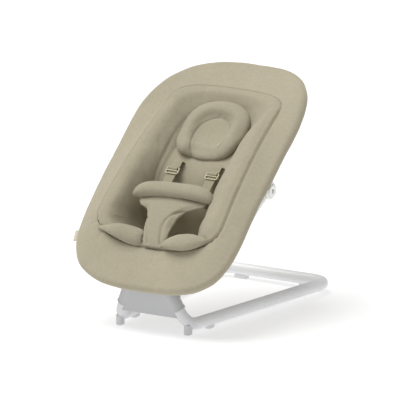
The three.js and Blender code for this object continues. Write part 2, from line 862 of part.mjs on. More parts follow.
// The lever turns on its pin between the carrier's ears: a pawl bar under the knuckles in front,
// a finger plate behind.
function releaseLever() {
  const { pin, block, half, thickness, grip, gripRise, pawlHalf, pawlWidth, pawlThickness } = lever;
  const reach = knuckle.radius + lever.pawlClear;
  const pawlY = hinge.y + reach * Math.cos(degToRad(lever.pawlAngle));
  const pawlZ = hinge.z + reach * Math.sin(degToRad(lever.pawlAngle));
  const [y, z] = [pivot.y, pivot.z];
  const shaft = cylinderX(pin, -hinge.drumHalf, hinge.drumHalf, y, z, 12);
  const body = box(-half, half, y - block / 2, y + block / 2, z - block / 2, z + block / 2);
  const plate = [
    [y, z - thickness / 2],
    [y + grip, z + gripRise],
    [y + grip, z + gripRise + thickness],
    [y, z + thickness / 2],
  ];
  const neck = [
    [pawlY - 1, pawlZ - pawlThickness],
    [y, z - thickness],
    [y, z],
    [pawlY - 1, pawlZ],
  ];
  const halfBar = pawlWidth / 2;
  const pawl = box(-pawlHalf, pawlHalf, pawlY - halfBar, pawlY + halfBar, pawlZ - pawlThickness, pawlZ);
  return join(shaft, body, prismX(plate, -half, half), prismX(neck, -half, half), pawl);
}
add("release_lever", releaseLever(), materials.sandPlastic);

function torsionSpring() {
  const radius = hinge.axleRadius + spring.coilGap + spring.wire;
  const start = hinge.drumHalf + fit + spring.wire;
  const end = knuckle.inner - fit - spring.wire - 1;
  const steps = spring.turns * 8;
  const points = [];
  for (let i = 0; i <= steps; i++) {
    const angle = degToRad(-90) + (2 * Math.PI * spring.turns * i) / steps;
    const x = lerp(start, end, i / steps);
    points.push(new THREE.Vector3(x, hinge.y + radius * Math.cos(angle), hinge.z + radius * Math.sin(angle)));
  }
  const footZ = bridge.bottomZ + bridge.wall + spring.wire + fit;
  points.push(new THREE.Vector3(end, hinge.y - radius, footZ));
  return tube(points, spring.wire, 5);
}
addPair("torsion_spring", torsionSpring(), materials.steel);

// ---------------------------------------------------------------- arms from the hinge to the hubs

const hubCentre = seatPoint(0, hub.s, hub.h);
const riseAngle = Math.atan2(hubCentre.z - hinge.z, hubCentre.y - hinge.y);
const armStartX = knuckle.inner + knuckle.width / 2;

function knuckleGeometry() {
  const body = cylinderX(knuckle.radius, knuckle.inner, knuckle.inner + knuckle.width, hinge.y, hinge.z, 30);
  const bore = cylinderX(hinge.axleRadius + runGap, 0, 2 * cheekInner, hinge.y, hinge.z);
  const notches = knuckle.notches.map((turn) => {
    const angle = degToRad(lever.pawlAngle + turn);
    const [y, z] = [hinge.y + knuckle.radius * Math.cos(angle), hinge.z + knuckle.radius * Math.sin(angle)];
    const { notchHalf, notchDepth } = knuckle;
    return box(-1, knuckle.width + 1, -notchHalf, notchHalf, -notchDepth, notchDepth)
      .rotateX(angle + Math.PI / 2)
      .translate(knuckle.inner, y, z);
  });
  return cut(body, bore, ...notches);
}
addPair("hinge_knuckle", knuckleGeometry(), materials.greyPlastic);

function armRoute() {
  const rise = new THREE.Vector3(0, Math.cos(riseAngle), Math.sin(riseAngle));
  const start = new THREE.Vector3(armStartX, hinge.y, hinge.z).addScaledVector(rise, arm.socket);
  const hubPoint = hubCentre.clone().setX(rimLine.half - arm.tuck);
  const beforeHub = new THREE.Vector3(-0.36, -0.55, -0.8); // the arm's last run, back from the hub
  const points = [
    start,
    start.clone().addScaledVector(rise, arm.straight).add(new THREE.Vector3(arm.straight / 4, 0, 0)),
    new THREE.Vector3(arm.spread, arm.lowY, arm.lowZ),
    new THREE.Vector3(arm.outHalf, arm.midY, arm.midZ),
    hubPoint.clone().addScaledVector(beforeHub, 2.3 * hub.radius),
    hubPoint.clone().addScaledVector(beforeHub, arm.radius),
  ];
  return smoothRoute(points, 12);
}
const armPath = armRoute();
const armGeometry = cut(
  tube(armPath, arm.radius, 10, arm.wall),
  cylinderX(knuckle.radius + fit, 0, cheekInner + 12, hinge.y, hinge.z, 30),
);
addPair("arm", armGeometry, materials.greyPaint);

function crossTubeGeometry() {
  const off = (p) => Math.abs(p.x - arm.spread);
  const at = smoothRoute(armRoute(), 60).reduce((best, p) => (off(p) < off(best) ? p : best));
  const bar = cylinderX(crossTube.radius, -arm.spread, arm.spread, at.y, at.z, 16);
  const grown = tube(armPath, arm.radius + fit);
  return cut(bar, grown, mirrored(grown));
}
add("cross_tube", largest(crossTubeGeometry()), materials.greyPaint);

// Keeps the biggest of the pieces that a cut leaves.
function largest(geometry) {
  const parts = solidOf(geometry).decompose();
  return geometryOf(parts.reduce((best, part) => (part.volume() > best.volume() ? part : best)));
}

// ---------------------------------------------------------------- rim tube and hubs

const rimSides = 8;
add("rim_tube_foot", tube(rimHalf(true), rimTube.radius, rimSides, rimTube.wall), materials.greyPaint);
add("rim_tube_head", tube(rimHalf(false), rimTube.radius, rimSides, rimTube.wall), materials.greyPaint);

// The two halves of the rim tube with the right hub's gap between them closed, for cutting.
function rimGrown(clearance) {
  const radius = rimTube.radius + clearance;
  const across = [-radius, radius].map((d) => rimCentre([rimLine.half, hub.s + d]));
  return join(...[rimHalf(true), rimHalf(false), across].map((route) => tube(route, radius, rimSides)));
}

const { y: hubY, z: hubZ } = hubCentre;
const hubInner = rimLine.half - hub.offset - hub.width / 2;
const hubOuter = hubInner + hub.width;
const capOuter = hubOuter + fit + hub.capThickness;
function hubBody() {
  const body = cylinderX(hub.radius, hubInner, hubOuter, hubY, hubZ, 24);
  const screwHole = cylinderX(screw.shank + fit, hubOuter - screw.length, hubOuter + 5, hubY, hubZ, 12);
  return largest(cut(body, rimGrown(fit), tube(armPath, arm.radius + fit), screwHole));
}
addPair("hub_body", hubBody(), materials.greyPlastic);

function hubCap() {
  const disc = cylinderX(hub.capRadius, hubOuter + fit, capOuter, hubY, hubZ, 24);
  const seatHole = cylinderX(screw.head + fit, capOuter - screw.headHeight, capOuter + 5, hubY, hubZ, 16);
  const hole = cylinderX(screw.shank + fit, hubOuter, capOuter + 5, hubY, hubZ, 12);
  return cut(disc, seatHole, hole);
}
addPair("hub_cap", hubCap(), materials.greyPlastic);
addPair("hub_screw", screwX(capOuter + fit, -1, hubY, hubZ), materials.steel);

// ---------------------------------------------------------------- soft cover

function rimBandCut() {
  const room = cylinderX(hub.radius + fit, hubInner - fit, seat.width, hubY, hubZ, 24);
  return cut(rimBand(), room, mirrored(room));
}
add("rim_band", rimBandCut(), materials.fabric);
add("sling", cut(slingShell(), rimGrown(fit), mirrored(rimGrown(fit))), materials.fabric);
add("inlay", inlayShell(), materials.inlay);

const trim = belowSeat(fit);
const trimLoose = belowSeat(2 * fit);

// ---------------------------------------------------------------- pillow

const pillowLine = { ...pillow, footPower: pillow.power };
const ringTaper = [0.55, 0.88]; // size of the ring's first sections at its ends

// The ring follows the pillow's outline in one padded roll, open at the foot end.
function pillowRing(clearance = 0) {
  const mid = pillow.bandWidth / 2;
  const line = outline({
    ...grown(pillowLine, -mid),
    foot: pillow.foot + mid * pillow.footShare,
    footRound: pillow.footRound - mid * pillow.footShare,
    headRound: pillow.headRound - mid,
  });
  const open = pillow.half * pillow.opening;
  const path = line.filter(([x, s]) => Math.abs(x) > open || s > pillow.head - pillow.headRound);
  const rows = path.map(([x, s], i) => {
    const [ax, as] = path[Math.max(i - 1, 0)];
    const [bx, bs] = path[Math.min(i + 1, path.length - 1)];
    const out = new THREE.Vector3(bs - as, 0, 0).addScaledVector(alongSeat(s), ax - bx).normalize();
    const size = ringTaper[Math.min(i, path.length - 1 - i)] ?? 1;
    const centre = seatPoint(x, s, pillow.ringHeight / 2 - pillow.settle - bowlDepth(s));
    const halfHeight = (pillow.ringHeight / 2) * size + clearance;
    return section(centre, out, offSeat(s), mid * size + clearance, halfHeight, 10);
  });
  if (clearance === 0) return cut(skin(rows), trim);
  const pastEnd = (row) => row.map((p) => p.clone().addScaledVector(alongSeat(pillow.foot), -clearance));
  return skin([pastEnd(rows[0]), ...rows, pastEnd(rows[rows.length - 1])]);
}

// An oval loop of points about a centre.
function section(centre, across, up, halfWidth, halfHeight, count, power = 2) {
  const points = [];
  for (let i = 0; i < count; i++) {
    const angle = (2 * Math.PI * i) / count;
    const c = Math.cos(angle);
    const d = Math.sin(angle);
    const u = Math.sign(c) * Math.abs(c) ** (2 / power) * halfWidth;
    const v = Math.sign(d) * Math.abs(d) ** (2 / power) * halfHeight;
    points.push(centre.clone().addScaledVector(across, u).addScaledVector(up, v));
  }
  return points;
}

// The panel inside the ring, cut off where it sinks into the inlay.
function pillowCentre(ring) {
  const inside = grown(pillowLine, -pillow.bandWidth - 1);
  const line = {
    ...inside,
    foot: pillow.foot + 2,
    footRound: pillow.centreFootRound,
    headRound: pillow.headRound - pillow.bandWidth,
  };
  const middle = (line.foot + line.head) / 2;
  const row = (share, height) =>
    outline(shrunk(line, share, middle)).map(([x, s]) => seatPoint(x, s, height - bowlDepth(s)));
  const face = (edge, crown, drop) => [
    [seatPoint(0, middle, crown - bowlDepth(middle))],
    row(0.6, crown - 0.05 * drop),
    row(0.9, crown - 0.4 * drop),
    row(1, edge),
  ];
  const top = pillow.centreHeight;
  const below = -3 * inlay.thickness;
  return largest(cut(shell(face(top / 3, top, top / 2), face(below, below, 0)), trim, ring));
}
const ringGeometry = pillowRing();
add("pillow_ring", ringGeometry, materials.pad);
add("pillow_centre", pillowCentre(pillowRing(2 * fit)), materials.pad);

// ---------------------------------------------------------------- leg pads

function legPadGeometry() {
  const steps = 8;
  const rows = [];
  for (let i = 0; i <= steps; i++) {
    const t = i / steps;
    const taper = Math.max(1 - Math.abs(2 * t - 1) ** 3, 0.04) ** 0.5;
    const x = lerp(legPad.inner, legPad.outer, t);
    const s = lerp(legPad.innerS, legPad.outerS, t ** 1.5);
    const h = lerp(legPad.innerH, legPad.outerH, t);
    const [halfWidth, halfHeight] = [legPad.width, legPad.thickness].map((d) => (d / 2) * taper);
    rows.push(section(seatPoint(x, s, h), alongSeat(s), offSeat(s), halfWidth, halfHeight, 14, 2.3));
  }
  return largest(cut(skin(rows), trimLoose, mirrored(trimLoose)));
}
addPair("leg_pad", legPadGeometry(), materials.pad);

// ---------------------------------------------------------------- harness

// A strap along a route, its width across the seat unless another direction is given.
function ribbon(points, width, thickness, across = new THREE.Vector3(1, 0, 0)) {
  const route = new Route(points);
  const rows = points.map((p, i) => {
    const along = route.getTangent(i / (points.length - 1));
    const side = across.clone().addScaledVector(along, -across.dot(along)).normalize();
    const up = new THREE.Vector3().crossVectors(side, along).normalize();
    side.multiplyScalar(width / 2);
    up.multiplyScalar(thickness / 2);
    const corner = (a, b) => p.clone().addScaledVector(side, a).addScaledVector(up, b);
    return [corner(-1, -1), corner(1, -1), corner(1, 1), corner(-1, 1)];
  });
  return skin(rows);
}

const strapRun = {
  top: seatPoint(shoulder.x, shoulder.topS, shoulder.h),
  bottom: seatPoint(shoulder.x, shoulder.straightS, shoulder.h),
};
const tongueTop = buckle.h + tongue.thickness / 2;

// From the slot in the inlay, down the back and on to the tongue.
function shoulderStrap() {
  const half = tongue.width / 2;
  const lie = tongueTop + fit + webbing.thickness / 2;
  const points = [
    seatPoint(shoulder.x, shoulder.topS + 2, -bowlDepth(shoulder.topS) - inlay.thickness / 2),
    strapRun.top,
    strapRun.bottom,
    seatPoint(shoulder.x, buckle.s + half + shoulder.landing, tongueTop + shoulder.landing / 2),
    seatPoint(shoulder.x, buckle.s + half, lie),
    seatPoint(shoulder.x, buckle.s - half + shoulder.landing / 2, lie),
  ];
  return largest(cut(ribbon(points, webbing.width, webbing.thickness), trim));
}
addPair("shoulder_strap", shoulderStrap(), materials.webbing);

function adjusterGeometry() {
  const centre = strapRun.top.clone().lerp(strapRun.bottom, adjuster.along);
  const run = strapRun.top.clone().sub(strapRun.bottom).normalize();
  const up = new THREE.Vector3(0, -run.z, run.y);
  const basis = new THREE.Matrix4().makeBasis(new THREE.Vector3(1, 0, 0), run, up).setPosition(centre);
  const frame = section(
    new THREE.Vector3(),
    new THREE.Vector3(1, 0, 0),
    new THREE.Vector3(0, 1, 0),
    adjuster.width / 2,
    adjuster.length / 2,
    16,
    5,
  );
  const lower = frame.map((p) => p.clone().setZ(-adjuster.thickness / 2));
  const middle = frame.map((p) => p.clone().setZ(adjuster.thickness / 4));
  const upper = frame.map((p) => new THREE.Vector3(p.x * 0.93, p.y * 0.9, adjuster.thickness / 2));
  const w = webbing.width / 2 + runGap;
  const t = webbing.thickness / 2 + runGap;
  const slot = box(-w, w, -adjuster.length, adjuster.length, -t, t);
  const open = adjuster.length / 2 - adjuster.end;
  const window = box(-w, w, -open, open, t - 0.1, adjuster.thickness);
  const [across, along] = [w + 1, adjuster.bar / 2];
  const bar = box(-across, across, -along, along, t, adjuster.thickness / 2);
  return join(cut(skin([lower, middle, upper]), slot, window), bar).applyMatrix4(basis);
}
addPair("strap_adjuster", adjusterGeometry(), materials.sandPlastic);

const buckleFrame = new THREE.Matrix4()
  .makeBasis(new THREE.Vector3(1, 0, 0), alongSeat(buckle.s), offSeat(buckle.s))
  .setPosition(seatPoint(0, buckle.s, buckle.h));
const tongueEnd = shoulder.x + webbing.width / 2 + tongue.margin;

function tongueGeometry(clearance = 0) {
  const { width, thickness } = tongue;
  const c = clearance;
  const edge = buckle.width / 2;
  const t = thickness / 2 + c;
  const nose = box(edge - tongue.reach - c, edge + thickness, -width * 0.3 - c, width * 0.3 + c, -t, t);
  const plate = box(edge + fit - c, tongueEnd + c, -width / 2 - c, width / 2 + c, -t, t);
  return join(nose, plate).applyMatrix4(buckleFrame);
}
addPair("buckle_tongue", tongueGeometry(), materials.darkPlastic);

const wellFloor = tongue.thickness / 2 + button.floor;

function buckleBody() {
  const loop = section(
    new THREE.Vector3(),
    new THREE.Vector3(1, 0, 0),
    new THREE.Vector3(0, 1, 0),
    buckle.width / 2,
    buckle.length / 2,
    20,
    3.2,
  );
  const half = buckle.thickness / 2;
  const rows = [
    loop.map((p) => new THREE.Vector3(p.x * 0.94, p.y * 0.94, -half)),
    loop.map((p) => p.clone().setZ(-half + 2)),
    loop.map((p) => p.clone().setZ(half - 2)),
    loop.map((p) => new THREE.Vector3(p.x * 0.94, p.y * 0.94, half)),
  ];
  const wellRadius = button.radius + runGap;
  const well = new THREE.CylinderGeometry(wellRadius, wellRadius, buckle.thickness, 20)
    .rotateX(Math.PI / 2)
    .translate(0, 0, buckle.thickness / 2 + wellFloor);
  const tongueRoom = tongueGeometry(fit);
  return cut(cut(skin(rows), well).applyMatrix4(buckleFrame), tongueRoom, mirrored(tongueRoom));
}
add("buckle_body", buckleBody(), materials.darkPlastic);

function buckleButton() {
  const bottom = wellFloor + button.travel + fit;
  const top = buckle.thickness / 2 + button.proud;
  return new THREE.CylinderGeometry(button.radius - button.taper, button.radius, top - bottom, 20)
    .rotateX(Math.PI / 2)
    .translate(0, 0, (top + bottom) / 2)
    .applyMatrix4(buckleFrame);
}
add("buckle_button", buckleButton(), materials.greyPlastic);

function waistStrap() {
  const start = tongueEnd + fit;
  const points = [
    seatPoint(start, buckle.s, buckle.h),
    seatPoint(start + waistRun.level, buckle.s, buckle.h),
    seatPoint(start + waistRun.reach, buckle.s, buckle.h - waistRun.sink),
    seatPoint(crest.half - waistRun.short, buckle.s, buckle.h - 6 * waistRun.sink),
  ];
  return largest(cut(ribbon(points, webbing.waistWidth, webbing.thickness, alongSeat(buckle.s)), trim));
}
addPair("waist_strap", waistStrap(), materials.webbing);

function crotchStrap() {
  const end = buckle.s - buckle.length / 2 - fit;
  const points = [
    seatPoint(0, end, buckle.h),
    seatPoint(0, end - crotchRun.reach, buckle.h - crotchRun.sink),
    seatPoint(0, crotchRun.footS, buckle.h - 4 * crotchRun.sink),
    seatPoint(0, crest.foot, buckle.h - 6 * crotchRun.sink),
  ];
  return largest(cut(ribbon(points, webbing.width, webbing.thickness), trim));
}
add("crotch_strap", crotchStrap(), materials.webbing);

function waistPadGeometry() {
  const steps = 12;
  const rows = [];
  for (let i = 0; i <= steps; i++) {
    const t = (2 * i) / steps - 1;
    const rise = 1 - t * t;
    const s = waistPad.s + waistPad.bowS * rise;
    const h = waistPad.h + waistPad.bowH * rise;
    const taper = Math.max(1 - Math.abs(t) ** 6, 0.08) ** 0.5;
    const along = new THREE.Vector3(1, 0, 0);
    const up = offSeat(s).addScaledVector(along, (2 * t * waistPad.bowH) / waistPad.half).normalize();
    const [halfWidth, halfHeight] = [waistPad.width, waistPad.thickness].map((d) => (d / 2) * taper);
    rows.push(section(seatPoint(waistPad.half * t, s, h), alongSeat(s), up, halfWidth, halfHeight, 14, 2.4));
  }
  return skin(rows);
}
add("waist_pad", waistPadGeometry(), materials.pad);

function crotchPadGeometry() {
  const { baseS, topS, thickness } = crotchPad;
  const steps = 12;
  const rows = [];
  for (let i = 0; i <= steps; i++) {
    const t = i / steps;
    const s = lerp(baseS, topS, t);
    const flare = smoothstep(t, 0.45, 0.97);
    const half = lerp(lerp(crotchPad.baseHalf, crotchPad.waistHalf, t), crotchPad.flareHalf, flare);
    const h = lerp(crotchPad.baseH, crotchPad.topH, t) + crotchPad.bow * 4 * t * (1 - t);
    const halfHeight = (thickness / 2) * (i === 0 || i === steps ? 0.5 : 1);
    const loop = section(seatPoint(0, s, h), new THREE.Vector3(1, 0, 0), offSeat(s), half, halfHeight, 16, 3);
    const sag = (p) => crotchPad.wrap * flare * (p.x / crotchPad.flareHalf) ** 2;
    rows.push(loop.map((p) => p.clone().addScaledVector(offSeat(s), -sag(p))));
  }
  return largest(cut(skin(rows), trimLoose));
}
add("crotch_pad", crotchPadGeometry(), materials.pad);

// ---------------------------------------------------------------- label tab

// A folded tab sewn into the hem's outer side.
function labelTab() {
  const left = bandLevels().filter(({ out, s }) => out.x < 0 && s < hub.s);
  const off = (level) => Math.abs(level.s - label.s);
  const { out, up, onHem } = left.reduce((best, level) => (off(level) < off(best) ? level : best));
  const away = onHem(1, label.tilt).sub(onHem(0, 0));
  const along = new THREE.Vector3().crossVectors(up, out);
  const basis = new THREE.Matrix4()
    .makeBasis(away, along, new THREE.Vector3().crossVectors(away, along))
    .setPosition(onHem(hemOuter + fit, label.tilt));
  const { length, reach, thickness } = label;
  return box(0, reach, -length / 2, length / 2, -thickness / 2, thickness / 2).applyMatrix4(basis);
}
add("label_tab", labelTab(), materials.webbing);

// ---------------------------------------------------------------- origin under the middle of the whole

const extent = new THREE.Box3().setFromObject(bouncer, true);
const centre = extent.getCenter(new THREE.Vector3());
bouncer.position.set(-centre.x, -centre.y, -extent.min.z);
bouncer.updateMatrixWorld(true);

export default bouncer;
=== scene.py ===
"""Baby bouncer seat: the visible model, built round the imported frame.

Sizes are in millimetres, and the points that meshes are made of are in metres. The seat has a frame of
its own: x across it, s along it from its foot edge, and h off it. "Flat" points are (x, s) pairs.
"""
import math

import bpy
import numpy as np
from mathutils import Matrix, Vector
from mathutils.bvhtree import BVHTree


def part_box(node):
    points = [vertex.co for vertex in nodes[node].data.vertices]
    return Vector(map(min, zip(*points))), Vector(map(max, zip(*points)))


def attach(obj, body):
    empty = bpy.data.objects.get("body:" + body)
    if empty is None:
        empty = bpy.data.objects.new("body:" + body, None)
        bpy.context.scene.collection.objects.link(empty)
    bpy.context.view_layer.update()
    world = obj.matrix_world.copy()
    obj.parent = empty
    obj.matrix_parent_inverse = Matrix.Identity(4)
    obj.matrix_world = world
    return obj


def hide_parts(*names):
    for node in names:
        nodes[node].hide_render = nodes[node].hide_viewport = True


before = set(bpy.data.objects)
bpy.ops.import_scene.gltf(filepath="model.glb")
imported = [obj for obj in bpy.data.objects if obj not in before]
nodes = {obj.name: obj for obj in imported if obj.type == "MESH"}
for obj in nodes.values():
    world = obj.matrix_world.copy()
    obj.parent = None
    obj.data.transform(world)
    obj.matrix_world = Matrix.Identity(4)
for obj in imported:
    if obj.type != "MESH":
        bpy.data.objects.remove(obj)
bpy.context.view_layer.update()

MM = 0.001
scene = bpy.context.scene

# ---------------------------------------------------------------- sizes

HINGE_Y, HINGE_Z = 20.0, 82.0
axle_low, axle_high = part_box("hinge_axle")
ORIGIN_Y = ((axle_low + axle_high) / 2).y - HINGE_Y * MM  # Y of the front feet

SEAT_LENGTH = 700.0
LIP_Y, LIP_Z = -66.0, 110.0
LIP_SLOPE, HEAD_SLOPE = math.radians(54.5), math.radians(21.5)
ARC = SEAT_LENGTH / (LIP_SLOPE - HEAD_SLOPE)

# Outlines: half the width at the foot and at the head, the ends, and the corners' reach and fullness.
CREST = dict(
    half=174.0, head_half=143.0, foot=106.0, head=594.0,
    foot_round=84.0, head_round=64.0, foot_power=2.5, head_power=2.3,
)
CREST_MIDDLE, CREST_SIDE = 6.0, 20.0
TUBE_DROP = 9.0
HEM = 13.1  # outside radius of the padded roll round the frame tube
RIM = dict(
    half=217.0 - HEM, head_half=217.0 - HEM, foot=HEM, head=SEAT_LENGTH - HEM,
    foot_round=172.0, head_round=245.0, foot_power=3.2, head_power=2.3,
)
RISE_FOOT, RISE_HEAD, RISE_FROM, RISE_TO, RISE_POWER = 2.0, 22.0, 330.0, 600.0, 1.5
BOWL_FOOT, BOWL_HEAD, BOWL_HIPS = 27, 13, 61  # the bowl's depth at its ends, and what the hips add
QUARTER, SIDE = 80, 100  # steps round a quarter of an outline, and along a straight side
CORNER_FINE = 2000  # points that a corner is measured with
CURVE_STEPS = 24  # points between two given ones of a curve

# ---------------------------------------------------------------- the seat's own frame


def seat_xyz(x, s, h):
    """Points in metres from millimetres across the seat, along it, and off it."""
    x, s, h = np.broadcast_arrays(*(np.asarray(v, float) for v in (x, s, h)))
    slope = LIP_SLOPE - s / ARC
    y = LIP_Y + ARC * (math.sin(LIP_SLOPE) - np.sin(slope)) - h * np.sin(slope)
    z = LIP_Z + ARC * (np.cos(slope) - math.cos(LIP_SLOPE)) + h * np.cos(slope)
    return np.stack([x, y, z], -1) * MM + np.array([0, ORIGIN_Y, 0])


def to_xyz(xsh):
    return seat_xyz(xsh[..., 0], xsh[..., 1], xsh[..., 2])


def seat_xsh(p):
    """Millimetres across, along and off the seat, from points in metres."""
    q = (np.asarray(p, float) - [0, ORIGIN_Y, 0]) / MM
    dy = q[..., 1] - (LIP_Y + ARC * math.sin(LIP_SLOPE))
    dz = q[..., 2] - (LIP_Z - ARC * math.cos(LIP_SLOPE))
    s = (LIP_SLOPE - np.arctan2(-dy, dz)) * ARC
    return np.stack([q[..., 0], s, np.hypot(dy, dz) - ARC], -1)


def seat_axes(s):
    """Directions along and off the seat."""
    slope = LIP_SLOPE - s / ARC
    return np.array([0, math.cos(slope), math.sin(slope)]), np.array([0, -math.sin(slope), math.cos(slope)])


def working(x, y, z):
    """Metres from millimetres in the frame whose Y is 0 at the front feet."""
    return np.array([x * MM, y * MM + ORIGIN_Y, z * MM])


def lifted(flat, h):
    """(x, s, h) points from flat ones."""
    return np.column_stack([flat, h + 0 * flat[:, 0]])


def smoothstep(x, a, b):
    t = np.clip((np.asarray(x, float) - a) / (b - a), 0, 1)
    return t * t * (3 - 2 * t)


def between(x, a, b, c, d):
    """1 from b to c, fading to 0 at a and d."""
    return smoothstep(x, a, b) * (1 - smoothstep(x, c, d))


def bell(x):
    return np.exp(-(x**2))


def bowl_depth(s):
    return BOWL_FOOT + (BOWL_HEAD - BOWL_FOOT) * smoothstep(s, 450, 580) + BOWL_HIPS * bell((s - 205) / 85)


def crest_height(x):
    return CREST_MIDDLE + CREST_SIDE * (x / CREST["half"]) ** 2


def bowl_height(flat, depth):
    """The height of points that are that share of the way from the crest down to the bowl's floor."""
    return crest_height(flat[:, 0]) * (1 - depth) - bowl_depth(flat[:, 1]) * depth


def corner(power, steps):
    """Shares (across, along) round a corner, in even steps along the bend."""
    fine = np.linspace(0, math.pi / 2, CORNER_FINE)
    fx, fy = np.sin(fine) ** (2 / power), np.cos(fine) ** (2 / power)
    run = np.concatenate([[0], np.cumsum(np.hypot(np.diff(fx), np.diff(fy)))])
    turn = np.interp(np.linspace(0, run[-1], steps + 1), run, fine)
    across, along = np.sin(turn) ** (2 / power), np.cos(turn) ** (2 / power)
    across[0], along[-1] = 0, 0
    return across, along


def outline(
    half, head_half, foot, head, foot_round, head_round, foot_power, head_power, quarter=QUARTER, side=SIDE
):
    """A closed loop of flat points, from the foot's middle round the +X side."""
    across, along = corner(foot_power, quarter)
    head_across, head_along = corner(head_power, quarter)
    straight = np.linspace(foot + foot_round, head - head_round, side + 1)[1:-1]
    right = np.concatenate([
        np.stack([across, foot + foot_round * (1 - along)], -1),
        np.stack([np.ones(side - 1), straight], -1),
        np.stack([head_across[::-1], head - head_round * (1 - head_along[::-1])], -1),
    ])
    right[:, 0] *= half + (head_half - half) * (right[:, 1] - foot) / (head - foot)
    return np.concatenate([right, right[1:-1][::-1] * [-1, 1]])


def loop_out(loop):
    """Flat unit directions that point out of a closed loop."""
    d = np.roll(loop, -1, 0) - np.roll(loop, 1, 0)
    n = np.stack([d[:, 1], -d[:, 0]], -1)
    return n / np.linalg.norm(n, axis=1, keepdims=True)


# ---------------------------------------------------------------- noise and curves


HASH = (73856093, 19349663, 83492791)  # large odd numbers that scatter whole coordinates
SCATTER = ((13, 1274126177), (15, 2246822519))
LOW_BITS = 0x7FFFFFFF
SEED_STEP = 17.13


def noise(p, scale, seed):
    """Smooth noise from -1 to 1 at points of any units, with features of that scale."""
    q = np.asarray(p, float) / scale + seed * SEED_STEP
    if q.shape[-1] == 2:
        q = np.concatenate([q, np.zeros(q.shape[:-1] + (1,))], -1)
    i = np.floor(q).astype(np.int64)
    f = q - i
    f = f * f * (3 - 2 * f)
    out = 0
    for corner_step in np.ndindex(2, 2, 2):
        n = np.bitwise_xor.reduce((i + corner_step) * HASH, axis=-1)
        for shift, factor in SCATTER:
            n = (n ^ (n >> shift)) * factor & LOW_BITS
        weight = np.where(np.array(corner_step) > 0, f, 1 - f)
        out = out + weight[..., 0] * weight[..., 1] * weight[..., 2] * (n / (LOW_BITS // 2) - 1)
    return out


def line_noise(at, scale, seed):
    """Noise along a line, at distances from its start."""
    return noise(np.stack([at, at * 0, at * 0], -1), scale, seed)


def running(p):
    """How far along a row of points each one lies."""
    return np.concatenate([[0], np.cumsum(np.linalg.norm(np.diff(p, axis=0), axis=1))])


def respace(p, count):
    run = running(p)
    at = np.linspace(0, run[-1], count)
    return np.stack([np.interp(at, run, p[:, i]) for i in range(p.shape[1])], -1)


def spline(points, count):
    """Points spaced evenly along a smooth curve through the given ones."""
    p = np.asarray(points, float)
    knots = np.concatenate([[0], np.cumsum(np.linalg.norm(np.diff(p, axis=0), axis=1) ** 0.5)])
    p = np.concatenate([[2 * p[0] - p[1]], p, [2 * p[-1] - p[-2]]])
    k = np.concatenate([[2 * knots[0] - knots[1]], knots, [2 * knots[-1] - knots[-2]]])
    last = len(p) - 3

    def blended(t, i, j, a, b):
        return ((k[j] - t) * a + (t - k[i]) * b) / (k[j] - k[i])

    out = []
    for i in range(1, last + 1):
        t = np.linspace(k[i], k[i + 1], CURVE_STEPS, endpoint=i == last)[:, None]
        a1, a2, a3 = (blended(t, j, j + 1, p[j], p[j + 1]) for j in (i - 1, i, i + 1))
        b1, b2 = blended(t, i - 1, i + 1, a1, a2), blended(t, i, i + 2, a2, a3)
        out.append(blended(t, i, i + 1, b1, b2))
    return respace(np.concatenate(out), count)


def cubic(values, fine):
    """Smooth interpolation of rows of values at fractions of a row (Catmull-Rom)."""
    padded = np.concatenate([[2 * values[0] - values[1]], values, [2 * values[-1] - values[-2]]])
    i = np.clip(fine.astype(int), 0, len(values) - 2)
    f = (fine - i)[:, None]
    a, b, c, d = (padded[i + k] for k in range(4))
    return 0.5 * (2 * b + (c - a) * f + (2 * a - 5 * b + 4 * c - d) * f**2 + (3 * b - a - 3 * c + d) * f**3)


def bezier(a, b, c, reach):
    """The rounded corner at b of the route a-b-c, from `reach` before it."""
    start = b + (a - b) / np.linalg.norm(a - b) * reach
    end = b + (c - b) / np.linalg.norm(c - b) * reach
    t = np.linspace(0, 1, CURVE_STEPS + 1)[:, None]
    return (1 - t) ** 2 * start + 2 * t * (1 - t) * b + t**2 * end


def filled(points, step):
    """A route with no run longer than `step` metres."""
    out = [points[0]]
    for a, b in zip(points[:-1], points[1:]):
        n = max(int(np.linalg.norm(b - a) / step), 1)
        out += [a + (b - a) * k / n for k in range(1, n + 1)]
    return np.array(out)


def unit(v):
    return v / np.maximum(np.linalg.norm(v, axis=-1, keepdims=True), 1e-12)


def superellipse(wide, high, sides=40, power=2.0, squarer=0.0):
    """(Across, up) points round a shape of those half sizes; `squarer` adds to its power at lower left."""
    a = np.linspace(0, 2 * math.pi, sides, endpoint=False)
    c, d = np.cos(a), np.sin(a)
    power = np.where((c < 0) & (d < 0), power + squarer, power)
    x, y = (np.sign(v) * np.abs(v) ** (2 / power) for v in (c, d))
    return np.stack([x * wide, y * high], -1)


# ---------------------------------------------------------------- meshes


def new_object(name, verts, faces, uv=None):
    """An object from vertices in metres and lists of corners, with a UV in metres for each vertex."""
    mesh = bpy.data.meshes.new(name)
    mesh.from_pydata(np.asarray(verts).tolist(), [], [list(map(int, f)) for f in faces])
    mesh.validate()
    if uv is not None:
        set_uv(mesh, np.asarray(uv)[loop_vertices(mesh)])
    mesh.shade_smooth()
    return linked(name, mesh)


def linked(name, data):
    obj = bpy.data.objects.new(name, data)
    scene.collection.objects.link(obj)
    return obj


def cad_copy(name, source):
    """A CAD node's own mesh in a new object."""
    obj = linked(name, nodes[source].data.copy())
    obj.data.name = name
    return obj


def read(items, key, width, kind=np.float32):
    """One property of all of a mesh's vertices, edges, faces or corners, `width` numbers to each."""
    values = np.zeros(len(items) * width, kind)
    items.foreach_get(key, values)
    return values.reshape(-1, width) if width > 1 else values


def loop_vertices(mesh):
    return read(mesh.loops, "vertex_index", 1, np.int32)


